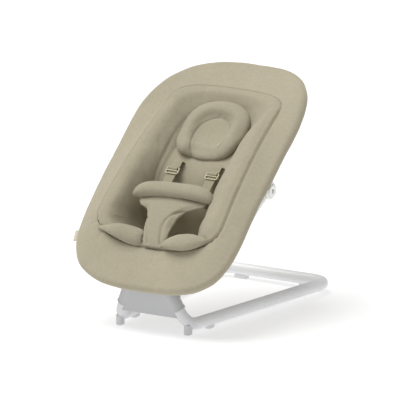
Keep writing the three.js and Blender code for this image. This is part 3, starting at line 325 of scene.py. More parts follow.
def set_uv(mesh, uv):
    layer = mesh.uv_layers.get("cloth") or mesh.uv_layers.new(name="cloth")
    layer.data.foreach_set("uv", uv.astype(np.float32).ravel())


def coords(obj):
    return read(obj.data.vertices, "co", 3).astype(float)


def set_coords(obj, p):
    obj.data.vertices.foreach_set("co", np.asarray(p, np.float32).ravel())
    obj.data.update()


def normals(obj):
    return read(obj.data.vertex_normals, "vector", 3).astype(float)


def pairs(count):
    """Each column of a closed ring with the next one."""
    return [(i, (i + 1) % count) for i in range(count)]


def grid_faces(rows, cols, closed=False, flip=False):
    """Quads between rings of points; `closed` joins the last ring to the first."""
    r, c = np.meshgrid(np.arange(rows if closed else rows - 1), np.arange(cols), indexing="ij")
    r2, c2 = (r + 1) % rows, (c + 1) % cols
    quads = np.stack([r * cols + c, r * cols + c2, r2 * cols + c2, r2 * cols + c], -1).reshape(-1, 4)
    return quads[:, ::-1] if flip else quads


def facing(xsh, row, way):
    """Rings of (x, s, h) points in metres, and normals that look up (1) or down (-1) at one of the rings."""
    p = to_xyz(xsh)
    normal = unit(np.cross(np.roll(p, -1, 1) - np.roll(p, 1, 1), np.gradient(p, axis=0)))
    off = to_xyz(xsh + np.array([0, 0, way])) - p
    return p, -normal if (normal[row] * off[row]).sum() < 0 else normal


def capped(name, rings, uv=None, closed=False):
    """A piece through rings of points, with a flat face at each end."""
    rows, cols = rings.shape[:2]
    faces = grid_faces(rows, cols, closed).tolist()
    if not closed:
        faces += [list(range(cols))[::-1], [(rows - 1) * cols + i for i in range(cols)]]
    return new_object(name, rings.reshape(-1, 3), faces, uv)


def loft(name, rings):
    """A closed piece through rings of (x, s, h) points, with a pole at each end."""
    rings = np.asarray(rings, float)
    rows, cols = rings.shape[:2]
    p = to_xyz(rings).reshape(-1, 3)
    verts = np.concatenate([p, to_xyz(rings[0].mean(0))[None], to_xyz(rings[-1].mean(0))[None]])
    faces = grid_faces(rows, cols).tolist()
    for i, j in pairs(cols):
        faces += [[len(p), j, i], [len(p) + 1, (rows - 1) * cols + i, (rows - 1) * cols + j]]
    return face_out(new_object(name, verts, faces))


def shell_of(name, upper, lower, uv, poles=True):
    """A closed thin piece from an upper and a lower stack of loops, each from the inside out."""
    rows, cols = upper.shape[:2]
    start, low_end = rows * cols, (rows + len(lower)) * cols
    verts = np.concatenate([upper.reshape(-1, 3), lower.reshape(-1, 3)])
    faces = grid_faces(rows, cols).tolist()
    faces += (grid_faces(len(lower), cols, flip=True) + start).tolist()
    top, bottom = start - cols, low_end - cols
    faces += [[top + i, top + j, bottom + j, bottom + i] for i, j in pairs(cols)]
    if poles:
        verts = np.concatenate([verts, upper[0].mean(0)[None], lower[0].mean(0)[None]])
        for i, j in pairs(cols):
            faces += [[low_end, j, i], [low_end + 1, start + i, start + j]]
    else:
        faces += [[i, start + i, start + j, j] for i, j in pairs(cols)]
    flat = seat_xsh(verts)[:, :2] * MM
    flat[:start] = uv.reshape(-1, 2)
    return face_out(new_object(name, verts, faces, flat))


def sweep(name, path, section, up=None, closed=False):
    """A section of (across, up) points swept along a path; without `up` it turns as little as it can."""
    tangent = unit(np.roll(path, -1, 0) - np.roll(path, 1, 0) if closed else np.gradient(path, axis=0))
    if up is None:
        sides = [unit(np.cross(tangent[0], [0.0, 0, 1] if abs(tangent[0][2]) < 0.9 else [1.0, 0, 0]))]
        for t in tangent[1:]:
            sides.append(unit(sides[-1] - t * (sides[-1] @ t)))
        sides = np.array(sides)
        ups = np.cross(sides, tangent)
    else:
        ups = np.broadcast_to(np.asarray(up, float), path.shape)
        ups = unit(ups - tangent * (ups * tangent).sum(1, keepdims=True))
        sides = np.cross(tangent, ups)
    rings = path[:, None] + sides[:, None] * section[None, :, :1] + ups[:, None] * section[None, :, 1:]
    uv = np.stack(np.meshgrid(running(path), running(section), indexing="ij"), -1).reshape(-1, 2)
    return capped(name, rings, uv, closed)


def face_out(obj):
    """Turns a closed mesh's faces outwards."""
    mesh = obj.data
    mesh.calc_loop_triangles()
    corners = coords(obj)[read(mesh.loop_triangles, "vertices", 3, np.int32)]
    a, b, c = (corners[:, i] for i in range(3))
    if np.einsum("ij,ij->i", a, np.cross(b, c)).sum() < 0:
        mesh.flip_normals()
    return obj


def tree_of(*objs):
    """A search tree of the objects' surfaces as they stand."""
    verts, faces = [], []
    for o in objs:
        start = len(verts)
        verts += [v.co.copy() for v in o.data.vertices]
        faces += [[start + i for i in f.vertices] for f in o.data.polygons]
    return BVHTree.FromPolygons(verts, faces)


ABOVE, BELOW, NOTHING = 120.0, -150.0, -200.0  # heights to look down from and to, and for where nothing is


def cast(x, s, start, end, tree):
    """Where the line from height `start` to `end` over a flat point first meets a surface, or None."""
    origin = seat_xyz(x, s, start)
    return tree.ray_cast(Vector(origin), Vector(unit(seat_xyz(x, s, end) - origin)))[0]


def laid(flat, surface, start=90.0, end=-90.0, beside=0.0):
    """Flat points laid on a piece; those that miss it go to the height `beside`."""
    tree = tree_of(surface)
    return np.array([tuple(cast(x, s, start, end, tree) or seat_xyz(x, s, beside)) for x, s in flat])


def heights(flat, tree):
    """The surface's height under flat points, in millimetres."""
    hits = (cast(x, s, ABOVE, BELOW, tree) for x, s in flat)
    return np.array([seat_xsh(np.array(hit))[2] if hit else NOTHING for hit in hits])


def nearest(obj, points):
    """Points moved to the nearest place on a piece."""
    tree = tree_of(obj)
    return np.array([tree.find_nearest(Vector(q))[0] for q in points])


def mirrored(obj):
    """The left twin of a right piece."""
    copy = obj.copy()
    copy.data = obj.data.copy()
    copy.name = copy.data.name = obj.name.replace("right", "left")
    for key in list(copy.keys()):  # the right piece's own properties are dropped from the copy
        del copy[key]
    scene.collection.objects.link(copy)
    copy.data.transform(Matrix.Scale(-1, 4, (1, 0, 0)))
    copy.data.flip_normals()
    return copy


def joined(name, objs):
    """One object from several."""
    verts, faces, uvs = [], [], []
    for o in objs:
        start = len(verts)
        verts += [tuple(v.co) for v in o.data.vertices]
        faces += [[start + i for i in f.vertices] for f in o.data.polygons]
        uv = np.zeros((len(o.data.vertices), 2))
        uv[loop_vertices(o.data)] = read(o.data.uv_layers["cloth"].data, "uv", 2)
        uvs.append(uv)
        bpy.data.objects.remove(o)
    return new_object(name, verts, faces, np.concatenate(uvs))


def baked(obj, **modifiers):
    """Adds modifiers, each named by its kind, and applies them."""
    for kind, settings in modifiers.items():
        modifier = obj.modifiers.new(kind.lower(), kind)
        for key, value in settings.items():
            setattr(modifier, key, value)
    graph = bpy.context.evaluated_depsgraph_get()
    graph.update()
    old, obj.data = obj.data, bpy.data.meshes.new_from_object(obj.evaluated_get(graph))
    obj.modifiers.clear()
    bpy.data.meshes.remove(old)
    obj.data.name = obj.name
    return obj


# ---------------------------------------------------------------- seams and padding

FAR = 60.0  # further from a seam than this, cloth doesn't feel it


def raised(p, n, amount):
    """Points in metres moved along their normals by millimetres."""
    return p + n * (amount * MM)[:, None]


def uneven(obj, amount):
    """Moves a piece's surface out by millimetres."""
    set_coords(obj, raised(coords(obj), normals(obj), amount))


def near_path(p, path, closed=False):
    """For each point: its distance to a path, and how far along that is; last, the path's length."""
    a, b = (path, np.roll(path, -1, 0)) if closed else (path[:-1], path[1:])
    length = np.linalg.norm(b - a, axis=1)
    run = np.concatenate([[0], np.cumsum(length)])
    low, high = np.minimum(a, b).min(0) - FAR * MM, np.maximum(a, b).max(0) + FAR * MM
    inside = np.nonzero(((p > low) & (p < high)).all(1))[0]
    q = p[inside]
    d_best, at_best = np.full(len(q), 1e9), np.zeros(len(q))
    for i in range(len(a)):
        ab = b[i] - a[i]
        t = np.clip(((q - a[i]) @ ab) / max(ab @ ab, 1e-18), 0, 1)
        d = np.linalg.norm(q - a[i] - t[:, None] * ab, axis=1)
        closer = d < d_best
        d_best[closer] = d[closer]
        at_best[closer] = run[i] + t[closer] * length[i]
    best, at = np.full(len(p), 1e9), np.zeros(len(p))
    best[inside], at[inside] = d_best, at_best
    return best, at, run[-1]


def stitch_in(p, n, path, width, depth, gathers=None, closed=False, taper=False):
    """Sews a line into a surface: a valley along the path, and gathers beside it.

    The gathers are (height, how far they reach, how far apart they are, seed).
    """
    d, at, total = (v / MM for v in near_path(p, path, closed))
    valley = bell(d / width)
    lift = -depth * valley
    if gathers:
        height, reach, pitch, seed = gathers
        lift = lift + height * (line_noise(at, pitch * 0.5, seed) * np.exp(-d / reach) * (1 - valley))
    if taper:
        lift = lift * np.sin(np.pi * np.clip(at / total, 0, 1)) ** 0.6
    return raised(p, n, lift)


def paint_groove_shade(obj, amount):
    """Keeps how much shade is painted on each point, from 0 to 1, for the cloth's colour; where two are
    given, the darker.
    """
    layer = obj.data.attributes.get("painted_shade") or obj.data.attributes.new("painted_shade", "FLOAT", "POINT")
    shade = read(layer.data, "value", 1)
    shade[: len(amount)] = np.maximum(shade[: len(amount)], np.clip(amount, 0, 1))
    layer.data.foreach_set("value", shade)


def seam(obj, path, width, depth, gathers=None, dark=0.0, dark_width=None, closed=False, taper=False):
    """Sews a line of points into a finished piece, and paints shade along its valley."""
    p = stitch_in(coords(obj), normals(obj), path, width, depth, gathers, closed, taper)
    set_coords(obj, p)
    if dark:
        d = near_path(p, path, closed)[0]
        paint_groove_shade(obj, dark * bell(d / MM / (dark_width or 0.7 * width)))


def relaxed(p, obj, rounds):
    """A piece's points, or moves, brought half way to the middle of their neighbours', so many times."""
    edges = read(obj.data.edges, "vertices", 2, np.int32)
    for _ in range(rounds):
        total, count = np.zeros_like(p), np.zeros(len(p))
        for a, b in ((0, 1), (1, 0)):
            np.add.at(total, edges[:, a], p[edges[:, b]])
            np.add.at(count, edges[:, a], 1)
        p = p + (total / count[:, None] - p) * 0.5
    return p


# ---------------------------------------------------------------- materials


def node(tree, kind, inputs=None, **props):
    n = tree.nodes.new("ShaderNode" + kind)
    for key, value in props.items():
        setattr(n, key, value)
    for key, value in (inputs or {}).items():
        connect(tree, value, n.inputs[key])
    return n


def connect(tree, value, socket):
    if isinstance(value, bpy.types.NodeSocket):
        tree.links.new(value, socket)
    else:
        socket.default_value = value


def maths(tree, operation, a, b=0.0, c=0.0):
    return node(tree, "Math", {0: a, 1: b, 2: c}, operation=operation).outputs[0]


def clouds(tree, where, scale, detail):
    """Soft noise with features of 1 / scale metres."""
    return node(tree, "TexNoise", {"Vector": where, "Scale": scale, "Detail": detail}).outputs["Fac"]


def mixed(tree, factor, a, b):
    """The colour a turning into b."""
    n = node(tree, "Mix", data_type="RGBA")
    for key, value in (("Factor", factor), ("A", a), ("B", b)):
        socket = next(s for s in n.inputs if s.name == key and (key == "Factor" or s.type == "RGBA"))
        connect(tree, (*value, 1) if isinstance(value, tuple) else value, socket)
    return next(s for s in n.outputs if s.type == "RGBA")


def tinted(colour, amount):
    return tuple(min(max(c * amount, 0), 1) for c in colour)


def new_material(name):
    material = bpy.data.materials.new(name)
    material.use_nodes = True
    material.node_tree.nodes.clear()
    return material, material.node_tree


def close_material(tree, colour, rough, **others):
    """Ends a material with the standard shader; other inputs have _ for a space in their names."""
    inputs = {key.replace("_", " "): value for key, value in others.items()}
    shader = node(tree, "BsdfPrincipled", {"Base Color": colour, "Roughness": rough, **inputs})
    node(tree, "OutputMaterial", {"Surface": shader.outputs[0]})


def bumped(tree, height, strength, distance):
    inputs = {"Height": height, "Strength": strength, "Distance": distance * MM}
    return node(tree, "Bump", inputs).outputs[0]


PAINTED_SHADE_TINT, PAINTED_SHADE_MOST = (0.3, 0.26, 0.14), 0.66  # what painted shade in seams and hollows does to the cloth's colour, and its most


def fabric(name, colour, thread=0.9, contrast=0.16, sheen=0.3, bump=0.5, ribbed=False):
    """Woven cloth: threads of that pitch, heathered fibres, and painted shade in its seams and hollows."""
    material, t = new_material(name)
    uv = node(t, "UVMap", uv_map="cloth").outputs["UV"]
    where = node(t, "TexCoord").outputs["Object"]
    u, v, _ = node(t, "SeparateXYZ", {0: uv}).outputs
    pitch = math.pi / (thread * MM)

    def wave(along):
        return maths(t, "SINE", maths(t, "MULTIPLY", along, pitch))

    if ribbed:
        weave = wave(maths(t, "ADD", u, maths(t, "PINGPONG", v, 2.6 * MM)))
    else:
        weave = maths(t, "MULTIPLY", wave(u), wave(v))
    warp, weft = (
        clouds(t, node(t, "Mapping", {"Vector": uv, "Scale": scale}).outputs[0], 1.0, 2.0)
        for scale in ((260, 1500, 1), (1500, 260, 1))
    )
    level = maths(t, "MULTIPLY_ADD", maths(t, "ADD", warp, weft), 1.1, -0.6)
    for scale, detail, share in ((9.0, 3.0, 0.55), (120.0, 2.0, 0.5)):
        drift = maths(t, "SUBTRACT", clouds(t, where, scale, detail), 0.5)
        level = maths(t, "MULTIPLY_ADD", drift, share, level)
    level = maths(t, "MULTIPLY_ADD", weave, 0.14, level)
    paint = mixed(t, level, tinted(colour, 1 - contrast), tinted(colour, 1 + contrast))
    # painted shade: the cloth is darkened where its pieces mark seams and hollows
    painted_shade = node(t, "Attribute", attribute_name="painted_shade").outputs["Fac"]
    shade = tuple(c * tint for c, tint in zip(colour, PAINTED_SHADE_TINT))
    paint = mixed(t, maths(t, "MULTIPLY", painted_shade, PAINTED_SHADE_MOST), paint, shade)
    height = maths(t, "MULTIPLY_ADD", clouds(t, where, 1800.0, 2.0), 0.6, weave)
    close_material(
        t, paint, 0.88, Specular_IOR_Level=0.25, Sheen_Weight=sheen, Sheen_Roughness=0.45,
        Sheen_Tint=(1.0, 0.96, 0.88, 1), Normal=bumped(t, height, bump, 0.12),
    )
    return material


FRONT_DEEP = 34.0  # how far back from the front feet a deeper colour fades


def moulded(name, colour, roughness=0.42, grain=0.5, coat=0.0, metallic=0.0, deep=1.0):
    """Plastic, paint, rubber or steel: a fine grain, faint colour drift, and convex edges a little paler.

    Below 1, `deep` is what the colour is multiplied by on the front legs.
    """
    material, t = new_material(name)
    where = node(t, "TexCoord").outputs["Object"]
    paint = mixed(t, clouds(t, where, 14.0, 3.0), tinted(colour, 0.95), tinted(colour, 1.04))
    fine, peel = clouds(t, where, 1400.0, 2.0), clouds(t, where, 260.0, 1.0)
    edge_sharpness = node(t, "NewGeometry").outputs["Pointiness"]
    edge = node(t, "MapRange", {"Value": edge_sharpness, "From Min": 0.53, "From Max": 0.62, "To Max": 0.35})
    paint = mixed(t, edge.outputs[0], paint, tinted(colour, 1.16))
    if deep < 1:
        y = node(t, "SeparateXYZ", {0: where}).outputs["Y"]
        ends = {"From Min": ORIGIN_Y, "From Max": ORIGIN_Y + FRONT_DEEP * MM}
        back = node(t, "MapRange", {"Value": y, **ends}, interpolation_type="SMOOTHSTEP")
        paint = mixed(t, back.outputs[0], tinted(colour, deep), paint)
    rough = node(t, "MapRange", {"Value": peel, "To Min": roughness - 0.05, "To Max": roughness + 0.07})
    height = maths(t, "MULTIPLY_ADD", peel, 1.5, fine)
    close_material(
        t, paint, rough.outputs[0], Metallic=metallic, Coat_Weight=coat, Coat_Roughness=0.25,
        Normal=bumped(t, height, grain, 0.05),
    )
    return material


PALE_GREY = (0.85, 0.855, 0.87)
# What each slot looks like, and what single pieces look like in place of their slot.
LOOKS = {
    "cover": fabric("cover_cloth", (0.385, 0.347, 0.252)),
    "lining": fabric("lining_cloth", (0.365, 0.328, 0.236), thread=0.8),
    "pad_fabric": fabric("pad_cloth", (0.352, 0.318, 0.23), thread=0.8, sheen=0.35),
    "webbing": fabric("webbing_cloth", (0.35, 0.315, 0.22), thread=1.1, sheen=0.15, bump=0.8, ribbed=True),
    "grey_paint": moulded("grey_paint", PALE_GREY, 0.36, grain=0.35, coat=0.12),
    # painted shade: the grey plastic is the paint's pale grey darkened to stand for the seat's shade over the
    # bridge; all grey plastic parts share it
    "grey_plastic": moulded("grey_plastic", tinted(PALE_GREY, 0.58), 0.45, grain=0.6),
    "grey_rubber": moulded("grey_rubber", tinted(PALE_GREY, 0.92), 0.75, grain=0.8),
    "dark_plastic": moulded("dark_plastic", (0.045, 0.045, 0.048), 0.5, grain=0.7),
    "sand_plastic": moulded("sand_plastic", (0.50, 0.44, 0.30), 0.38, grain=0.5),
    "plain_steel": moulded("plain_steel", (0.42, 0.42, 0.43), 0.34, grain=0.4, metallic=1.0),
    "tape": fabric("tape_cloth", (0.55, 0.51, 0.41), thread=0.6, sheen=0.2),
    "floor": moulded("floor_paint", PALE_GREY, 0.36, grain=0.35, coat=0.12, deep=0.82),
    "foot": moulded("foot_plastic", tinted(PALE_GREY, 0.75), 0.5, grain=0.6),
    "hub": moulded("hub_plastic", (0.93, 0.93, 0.90), 0.4, grain=0.4, coat=0.08),
}

# ---------------------------------------------------------------- cover: band, lining and sling

SEAM_GAP = 0.6
HEM_END = -142.0  # the angle at which the band ends under the tube, in degrees
FLOOR_FOOT_SHARE = 0.62
SLING_LAP, SLING_THICK, SLING_HANG = 1.8, 1.2, 15.0  # off the band's roll, its cloth, and under the bowl
BAND_THICK, BAND_EDGE = 2.6, 7.0  # the band's padding round the tube, and at the seam
BAND_STEPS = [0, 0.006, 0.012, 0.02, 0.03, 0.042, 0.056, 0.075, *np.linspace(0.1, 1, 28)]

# Short folds at the bowl's foot corners, where the band is gathered into the seam.
BAND_FOLDS = [
    [(146, 170), (156, 158), (172, 150), (186, 150)],
    [(137, 158), (148, 146), (158, 136), (164, 122)],
    [(128, 148), (134, 136), (140, 122)],
    [(-147, 176), (-158, 169), (-170, 166), (-182, 168)],
    [(-139, 160), (-152, 150), (-168, 142), (-180, 130)],
    [(-126, 148), (-134, 134), (-142, 118), (-146, 100)],
]
# The lining's section, from under the crest seam to the floor: inset, share of the depth, lift.
LINING_ROWS = [
    (-0.2, 0.0, -4.4), (0.8, 0.0, -2.6), (2.2, 0.0, -0.6), (5.0, -0.01, 1.0), (9.5, -0.02, 2.0),
    (15.0, -0.01, 2.8), (21.0, 0.02, 2.6), (27.0, 0.12, 1.4), (33.0, 0.28, 0.4), (41.0, 0.50, 0.0),
    (49.0, 0.74, 0.0), (58.0, 0.93, 0.0),
]
LINING_UNDER, LINING_THICK = [(0.5, 0, -9.0), (24, 0.04, 0), (41, 0.5, 0), (58, 0.95, 0)], 9.5
SECTION_ROWS = 54
DEPTH_UNIT = 60  # the bowl's depth in millimetres, roughly, which spaces the section's rows evenly
# Seams between the bowl's floor and its walls, and slack folds that run down the walls to the hips.
WALL_SEAMS = [
    [(60, 172), (82, 192), (84, 218), (89, 250), (92, 300), (92, 380), (92, 450), (95, 490)],
    [(-60, 172), (-82, 192), (-90, 218), (-95, 250), (-98, 300), (-98, 380), (-98, 450), (-95, 490)],
]
LINING_FOLDS = [
    [(128, 250), (112, 228), (98, 205)],
    [(126, 320), (110, 290), (96, 262)],
    [(-128, 262), (-112, 236), (-96, 210)],
    [(-126, 336), (-110, 302), (-98, 270)],
    [(-120, 420), (-108, 380), (-101, 345)],
    [(60, 168), (46, 186), (24, 196)],
    [(-60, 168), (-44, 188), (-22, 198)],
]
# The outer cloth: angles round the tube, (inset, share of the depth) down the wall, shares of the floor.
SLING_TURN = (-116, -130, -144, -158, -172)
SLING_WALL = ((39, 0.45), (48, 0.71), (58, 0.93))
SLING_FLOOR = (0.9, 0.75, 0.6, 0.45, 0.3, 0.15, 0.02)
# The right seam of the outer cloth, between its centre panel and a side panel.
SLING_SEAM = [(96, 60), (100, 140), (102, 240), (102, 360), (100, 480), (88, 600), (80, 650)]


def crest_loop(inset=0.0, foot_share=1.0):
    """The seam between cover and lining, or a loop inside it."""
    change = dict(half=-inset, head_half=-inset, foot=inset * foot_share, head=-inset)
    return outline(**{key: value + change.get(key, 0) for key, value in CREST.items()})


def crest_path():
    loop = crest_loop()
    return to_xyz(lifted(loop, crest_height(loop[:, 0])))[::2]


RIM_LOOP = outline(**RIM)
RIM_OUT = loop_out(RIM_LOOP)
RIM_RISE = RISE_FOOT + (RISE_HEAD - RISE_FOOT) * smoothstep(RIM_LOOP[:, 1], RISE_FROM, RISE_TO)
RIM_H = RIM_RISE * np.abs(RIM_LOOP[:, 0] / RIM["half"]) ** RISE_POWER - TUBE_DROP  # the tube's middle


def hem_point(degrees, radius=HEM):
    """Points (x, s, h) round the roll on the frame tube, one for each column."""
    a = np.radians(degrees) * np.ones(len(RIM_LOOP))
    return lifted(RIM_LOOP + RIM_OUT * (radius * np.cos(a))[:, None], RIM_H + radius * np.sin(a))


def column_uv(points, out, base):
    """Flat coordinates for a stack of loops: plain up to row `base`, then measured out on the surface."""
    step = np.linalg.norm(np.diff(points, axis=0), axis=-1)
    run = np.concatenate([np.zeros((1, points.shape[1])), np.cumsum(step, 0)])
    uv = (seat_xsh(points[base])[:, :2] * MM)[None] + out[None] * (run - run[base])[..., None]
    uv[:base] = seat_xsh(points[:base])[..., :2] * MM
    return uv


def fold(obj, flat, width, depth):
    """A short soft fold in a piece."""
    path = laid(respace(np.array(flat, float), 14), obj, 60.0, -60.0)
    seam(obj, path, width, depth, taper=True)


def seam_weight(flat):
    """How deep the crest seam lies, and how much shade is painted along it: most beside the fuller right
    bolster, least at the left and the head.
    """
    right = smoothstep(flat[..., 0], 60, 130)
    foot = 1 - smoothstep(flat[..., 1], 118, 165)
    return 0.04 + 0.83 * np.maximum(right * (1 - smoothstep(flat[..., 1], 500, 585)), 0.5 * foot)


def band_profile(radius, depth, steps, turns):
    """Rows from the crest seam across the band and round the tube."""
    crest = crest_loop(-SEAM_GAP)
    start = lifted(crest, crest_height(crest[:, 0]) - depth)
    reach = np.linalg.norm(RIM_LOOP - crest, axis=1)
    fall = np.arctan2(start[:, 2] - RIM_H - radius, reach)
    join = np.degrees(math.pi / 2 - np.clip(1.3 * fall, -0.4, 1.0))
    end = hem_point(join, radius)
    tangent = lifted(RIM_OUT * np.sin(np.radians(join))[:, None], -np.cos(np.radians(join)))
    middle = end - tangent * (0.42 * reach)[:, None]
    rows = [(1 - t) ** 2 * start + 2 * t * (1 - t) * middle + t * t * end for t in steps]
    rows += [hem_point(join + (HEM_END - join) * k / turns, radius) for k in range(1, turns + 1)]
    return np.array(rows)


def build_band():
    outer = band_profile(HEM, 0.0, BAND_STEPS, 22)
    rows, cols = outer.shape[:2]
    p, n = (v.reshape(-1, 3) for v in facing(outer, 5, 1))
    crest = crest_path()
    near = near_path(p, crest, True)[0] / MM
    # the seam's valley, with the band's edge turned down into it
    weight = seam_weight(seat_xsh(p))
    p = stitch_in(p, n, crest, 2.2 + 2.6 * weight, 0.3 + 5.6 * weight, (0.6, 7.0, 12, 3), closed=True)
    # padding under the cloth is a little uneven
    flat = outer[..., :2].reshape(-1, 2)
    soft = noise(flat, 46, 1) * 0.9 + noise(flat, 21, 2) * 0.45
    p = raised(p, n, soft * smoothstep(near, 4, 20))
    # gathers where elastic draws the hem in, underneath
    row = np.repeat(np.arange(rows), cols)
    gather = line_noise(np.tile(running(RIM_LOOP), rows), 5.5, 5)
    p = raised(p, n, smoothstep(row - rows, -12, -2) * gather * 0.4)
    upper = p.reshape(rows, cols, 3)
    inner = to_xyz(band_profile(HEM - BAND_THICK, BAND_EDGE, np.linspace(0, 1, 9), 8))
    obj = shell_of("cover_band", upper, inner, column_uv(upper, RIM_OUT, 0), poles=False)
    for flat in BAND_FOLDS:
        fold(obj, flat, 4.2, 1.7)
    # painted shade along the crest seam, most beside the right bolster
    weight = seam_weight(seat_xsh(p))
    paint_groove_shade(obj, weight * bell(near / (2.0 + 2.2 * weight)))
    return obj


def wall_shares(loop):
    """How much a wall's padding counts along the bowl, and how far to the right and the left points are."""
    x, s = loop.T
    return between(s, 128, 190, 430, 560), smoothstep(x, 30, 100), smoothstep(-x, 30, 100)


def late_fall(loop, share):
    """Keeps the walls' padding high for longer before it falls to the floor, most on the right."""
    along, right, left = wall_shares(loop)
    return np.maximum(share, 0) ** (1 + along * (1.4 * right + 0.35 * left))


def wall_push(loop, inset):
    """How far the padding brings the bowl's walls in, in millimetres: most on the right."""
    along, right, left = wall_shares(loop)
    hips = 1 - smoothstep(loop[:, 1], 250, 420)
    most = right * (19.0 + 14.0 * hips) + left * (9.0 + 2.0 * hips)
    return np.sign(loop[:, 0]) * along * most * smoothstep(inset, 6.0, 44.0)


def bowl_middle(loop):
    return np.array([0, loop[0, 1] + 0.4 * (loop[:, 1].max() - loop[0, 1])])


def lining_profile(rows, offset=0.0, floor_rows=30):
    """Loops of (x, s, h) points from the floor's middle out to the crest seam."""
    table = np.array(rows, float)
    step = np.hypot(np.diff(table[:, 0]), np.diff(table[:, 1]) * DEPTH_UNIT)
    key = np.concatenate([[0], np.cumsum(step)])
    smooth = spline(np.column_stack([key, table[:, 0], table[:, 1] * DEPTH_UNIT, table[:, 2]]), SECTION_ROWS)
    out = []
    for _, inset, depth, lift in smooth:
        loop = crest_loop(inset, FLOOR_FOOT_SHARE)
        lift = lift * np.where(lift < 0, 0.06 + 1.35 * seam_weight(loop), 1.0)
        h = bowl_height(loop, late_fall(loop, depth / DEPTH_UNIT)) + lift + offset
        loop[:, 0] -= wall_push(loop, inset)
        out.append(lifted(loop, h))
    inset, depth = table[-1, :2]
    base = crest_loop(inset, FLOOR_FOOT_SHARE)
    middle = bowl_middle(base)
    base[:, 0] -= wall_push(base, inset)
    for share in np.linspace(1, 0.015, floor_rows)[1:]:
        loop = middle + (base - middle) * share
        out.append(lifted(loop, bowl_height(loop, 1 - (1 - depth) * smoothstep(share, 0.82, 1.0)) + offset))
    return np.array(out)[::-1]


def build_lining():
    upper = lining_profile(LINING_ROWS)
    points, normal = facing(upper, -30, 1)
    rows, cols = points.shape[:2]
    uv = column_uv(points, loop_out(crest_loop()), rows - SECTION_ROWS)
    p, n, flat = points.reshape(-1, 3), normal.reshape(-1, 3), upper[..., :2].reshape(-1, 2)
    row = np.repeat(np.arange(rows), cols)
    crest = crest_path()
    near, at, _ = (v / MM for v in near_path(p, crest, True))
    # quilting under the lining: soft rises and hollows, more on the walls
    soft = noise(flat, 52, 11) * 1.3 + noise(flat, 24, 12) * 0.55
    p = raised(p, n, soft * smoothstep(near, 6, 26))
    # the roll beside the seam is fuller along the sides, most on the right
    sides = between(flat[:, 1], 120, 190, 470, 580)
    right = smoothstep(flat[:, 0], 40, 110)
    hump = bell((near - 14 - 10 * right) / (9 + 8 * right))
    p = raised(p, n, sides * (1.0 + 5.0 * right) * hump)
    # it is filled unevenly along its length and gathered into its seam
    roll = between(row - rows, -40, -26, -6, -1)
    filling = line_noise(at, 34, 13) * 0.8 + line_noise(at, 13, 14) * 0.5
    p = raised(p, n, filling * roll)
    depth = 0.3 + 1.3 * seam_weight(seat_xsh(p))
    p = stitch_in(p, n, crest, 2.0, depth, (0.8, 6.0, 10, 15), closed=True)
    lower = to_xyz(lining_profile(LINING_UNDER, -LINING_THICK, 12)[::3])
    obj = shell_of("seat_lining", p.reshape(rows, cols, 3), lower, uv)
    # painted shade along the crest seam on the lining's side
    paint_groove_shade(obj, seam_weight(seat_xsh(p)) * bell(near / 2.0))
    # the seams between the floor and the walls, with a little shade painted along them
    paths = [laid(spline(flat, 130), obj) for flat in WALL_SEAMS]
    for k, path in enumerate(paths):
        seam(obj, path, 4.5, 2.0, (0.7, 10.0, 13, 20 + k), 0.15, 1.5, taper=True)
    # painted shade in the hips' hollow, most on the right
    x, _, h = seat_xsh(coords(obj)).T
    paint_groove_shade(obj, (0.35 + 0.65 * smoothstep(x, -75, -30)) * smoothstep(-h, 48, 80))
    for flat in LINING_FOLDS:
        fold(obj, flat, 7.0, 1.0)
    return obj


def build_sling():
    """The outer cloth, stretched from the frame tube down round the bowl."""
    lapped = [hem_point(angle, HEM + SLING_LAP) for angle in SLING_TURN]
    loops = [(crest_loop(inset, FLOOR_FOOT_SHARE), depth) for inset, depth in SLING_WALL]
    base = loops[-1][0]
    middle = bowl_middle(base)
    loops += [(middle + (base - middle) * share, 1) for share in SLING_FLOOR]
    bowl = [lifted(loop, bowl_height(loop, depth) - SLING_HANG) for loop, depth in loops]
    belly = (lapped[-1] + bowl[0]) / 2 - [0, 0, 2]
    rings = np.array([*lapped, belly, *bowl])
    # smooth each column through its rings
    fine = np.concatenate([np.linspace(0, 4, 13)[:-1], np.linspace(4, len(rings) - 1, 64)])
    columns = np.stack([cubic(rings[..., k], fine) for k in range(3)], -1)[::-1]
    points, normal = facing(columns, 30, -1)
    rows, cols = points.shape[:2]
    p, n, flat = points.reshape(-1, 3), normal.reshape(-1, 3), columns[..., :2].reshape(-1, 2)
    row = np.repeat(np.arange(rows), cols)
    # stretch wrinkles that run from the frame towards the bowl
    wave = np.stack([np.tile(running(RIM_LOOP), rows), row * 1.5, row * 0.0], -1)
    pull = between(row - rows, -46, -20, -16, -10)
    p = raised(p, n, (noise(wave, 15, 31) * 0.7 + noise(wave, 38, 32)) * pull)
    p = raised(p, n, noise(flat, 60, 33) * 1.2)
    upper = p.reshape(rows, cols, 3)
    lower = upper - normal * SLING_THICK * MM
    obj = shell_of("sling_cover", upper, lower, column_uv(upper, RIM_OUT, 20))
    # the seams between the centre panel and the side panels, with shade painted along them
    for k, side in enumerate((1, -1)):
        path = laid(spline(np.array(SLING_SEAM, float) * [side, 1], 140), obj, -190.0, 0.0, -60.0)
        seam(obj, path, 2.2, 1.6, (0.7, 8, 12, 40 + k), 0.7, 1.4)
    return obj


# ---------------------------------------------------------------- camera, light and floor

VIEW_AZIMUTH, VIEW_ELEVATION = 32.0, 14.17  # degrees
VIEW_FROM, VIEW_WIDTH, VIEW_ACROSS, VIEW_UP = 4.0, 0.9305, 0.1079, 0.3023  # metres
SUN_AZIMUTH, SUN_ELEVATION, SUN_WIDTH, SUN_POWER, SKY_POWER = -58, 70, 40, 2.5, 0.5
FLOOR_HALF = 9.0


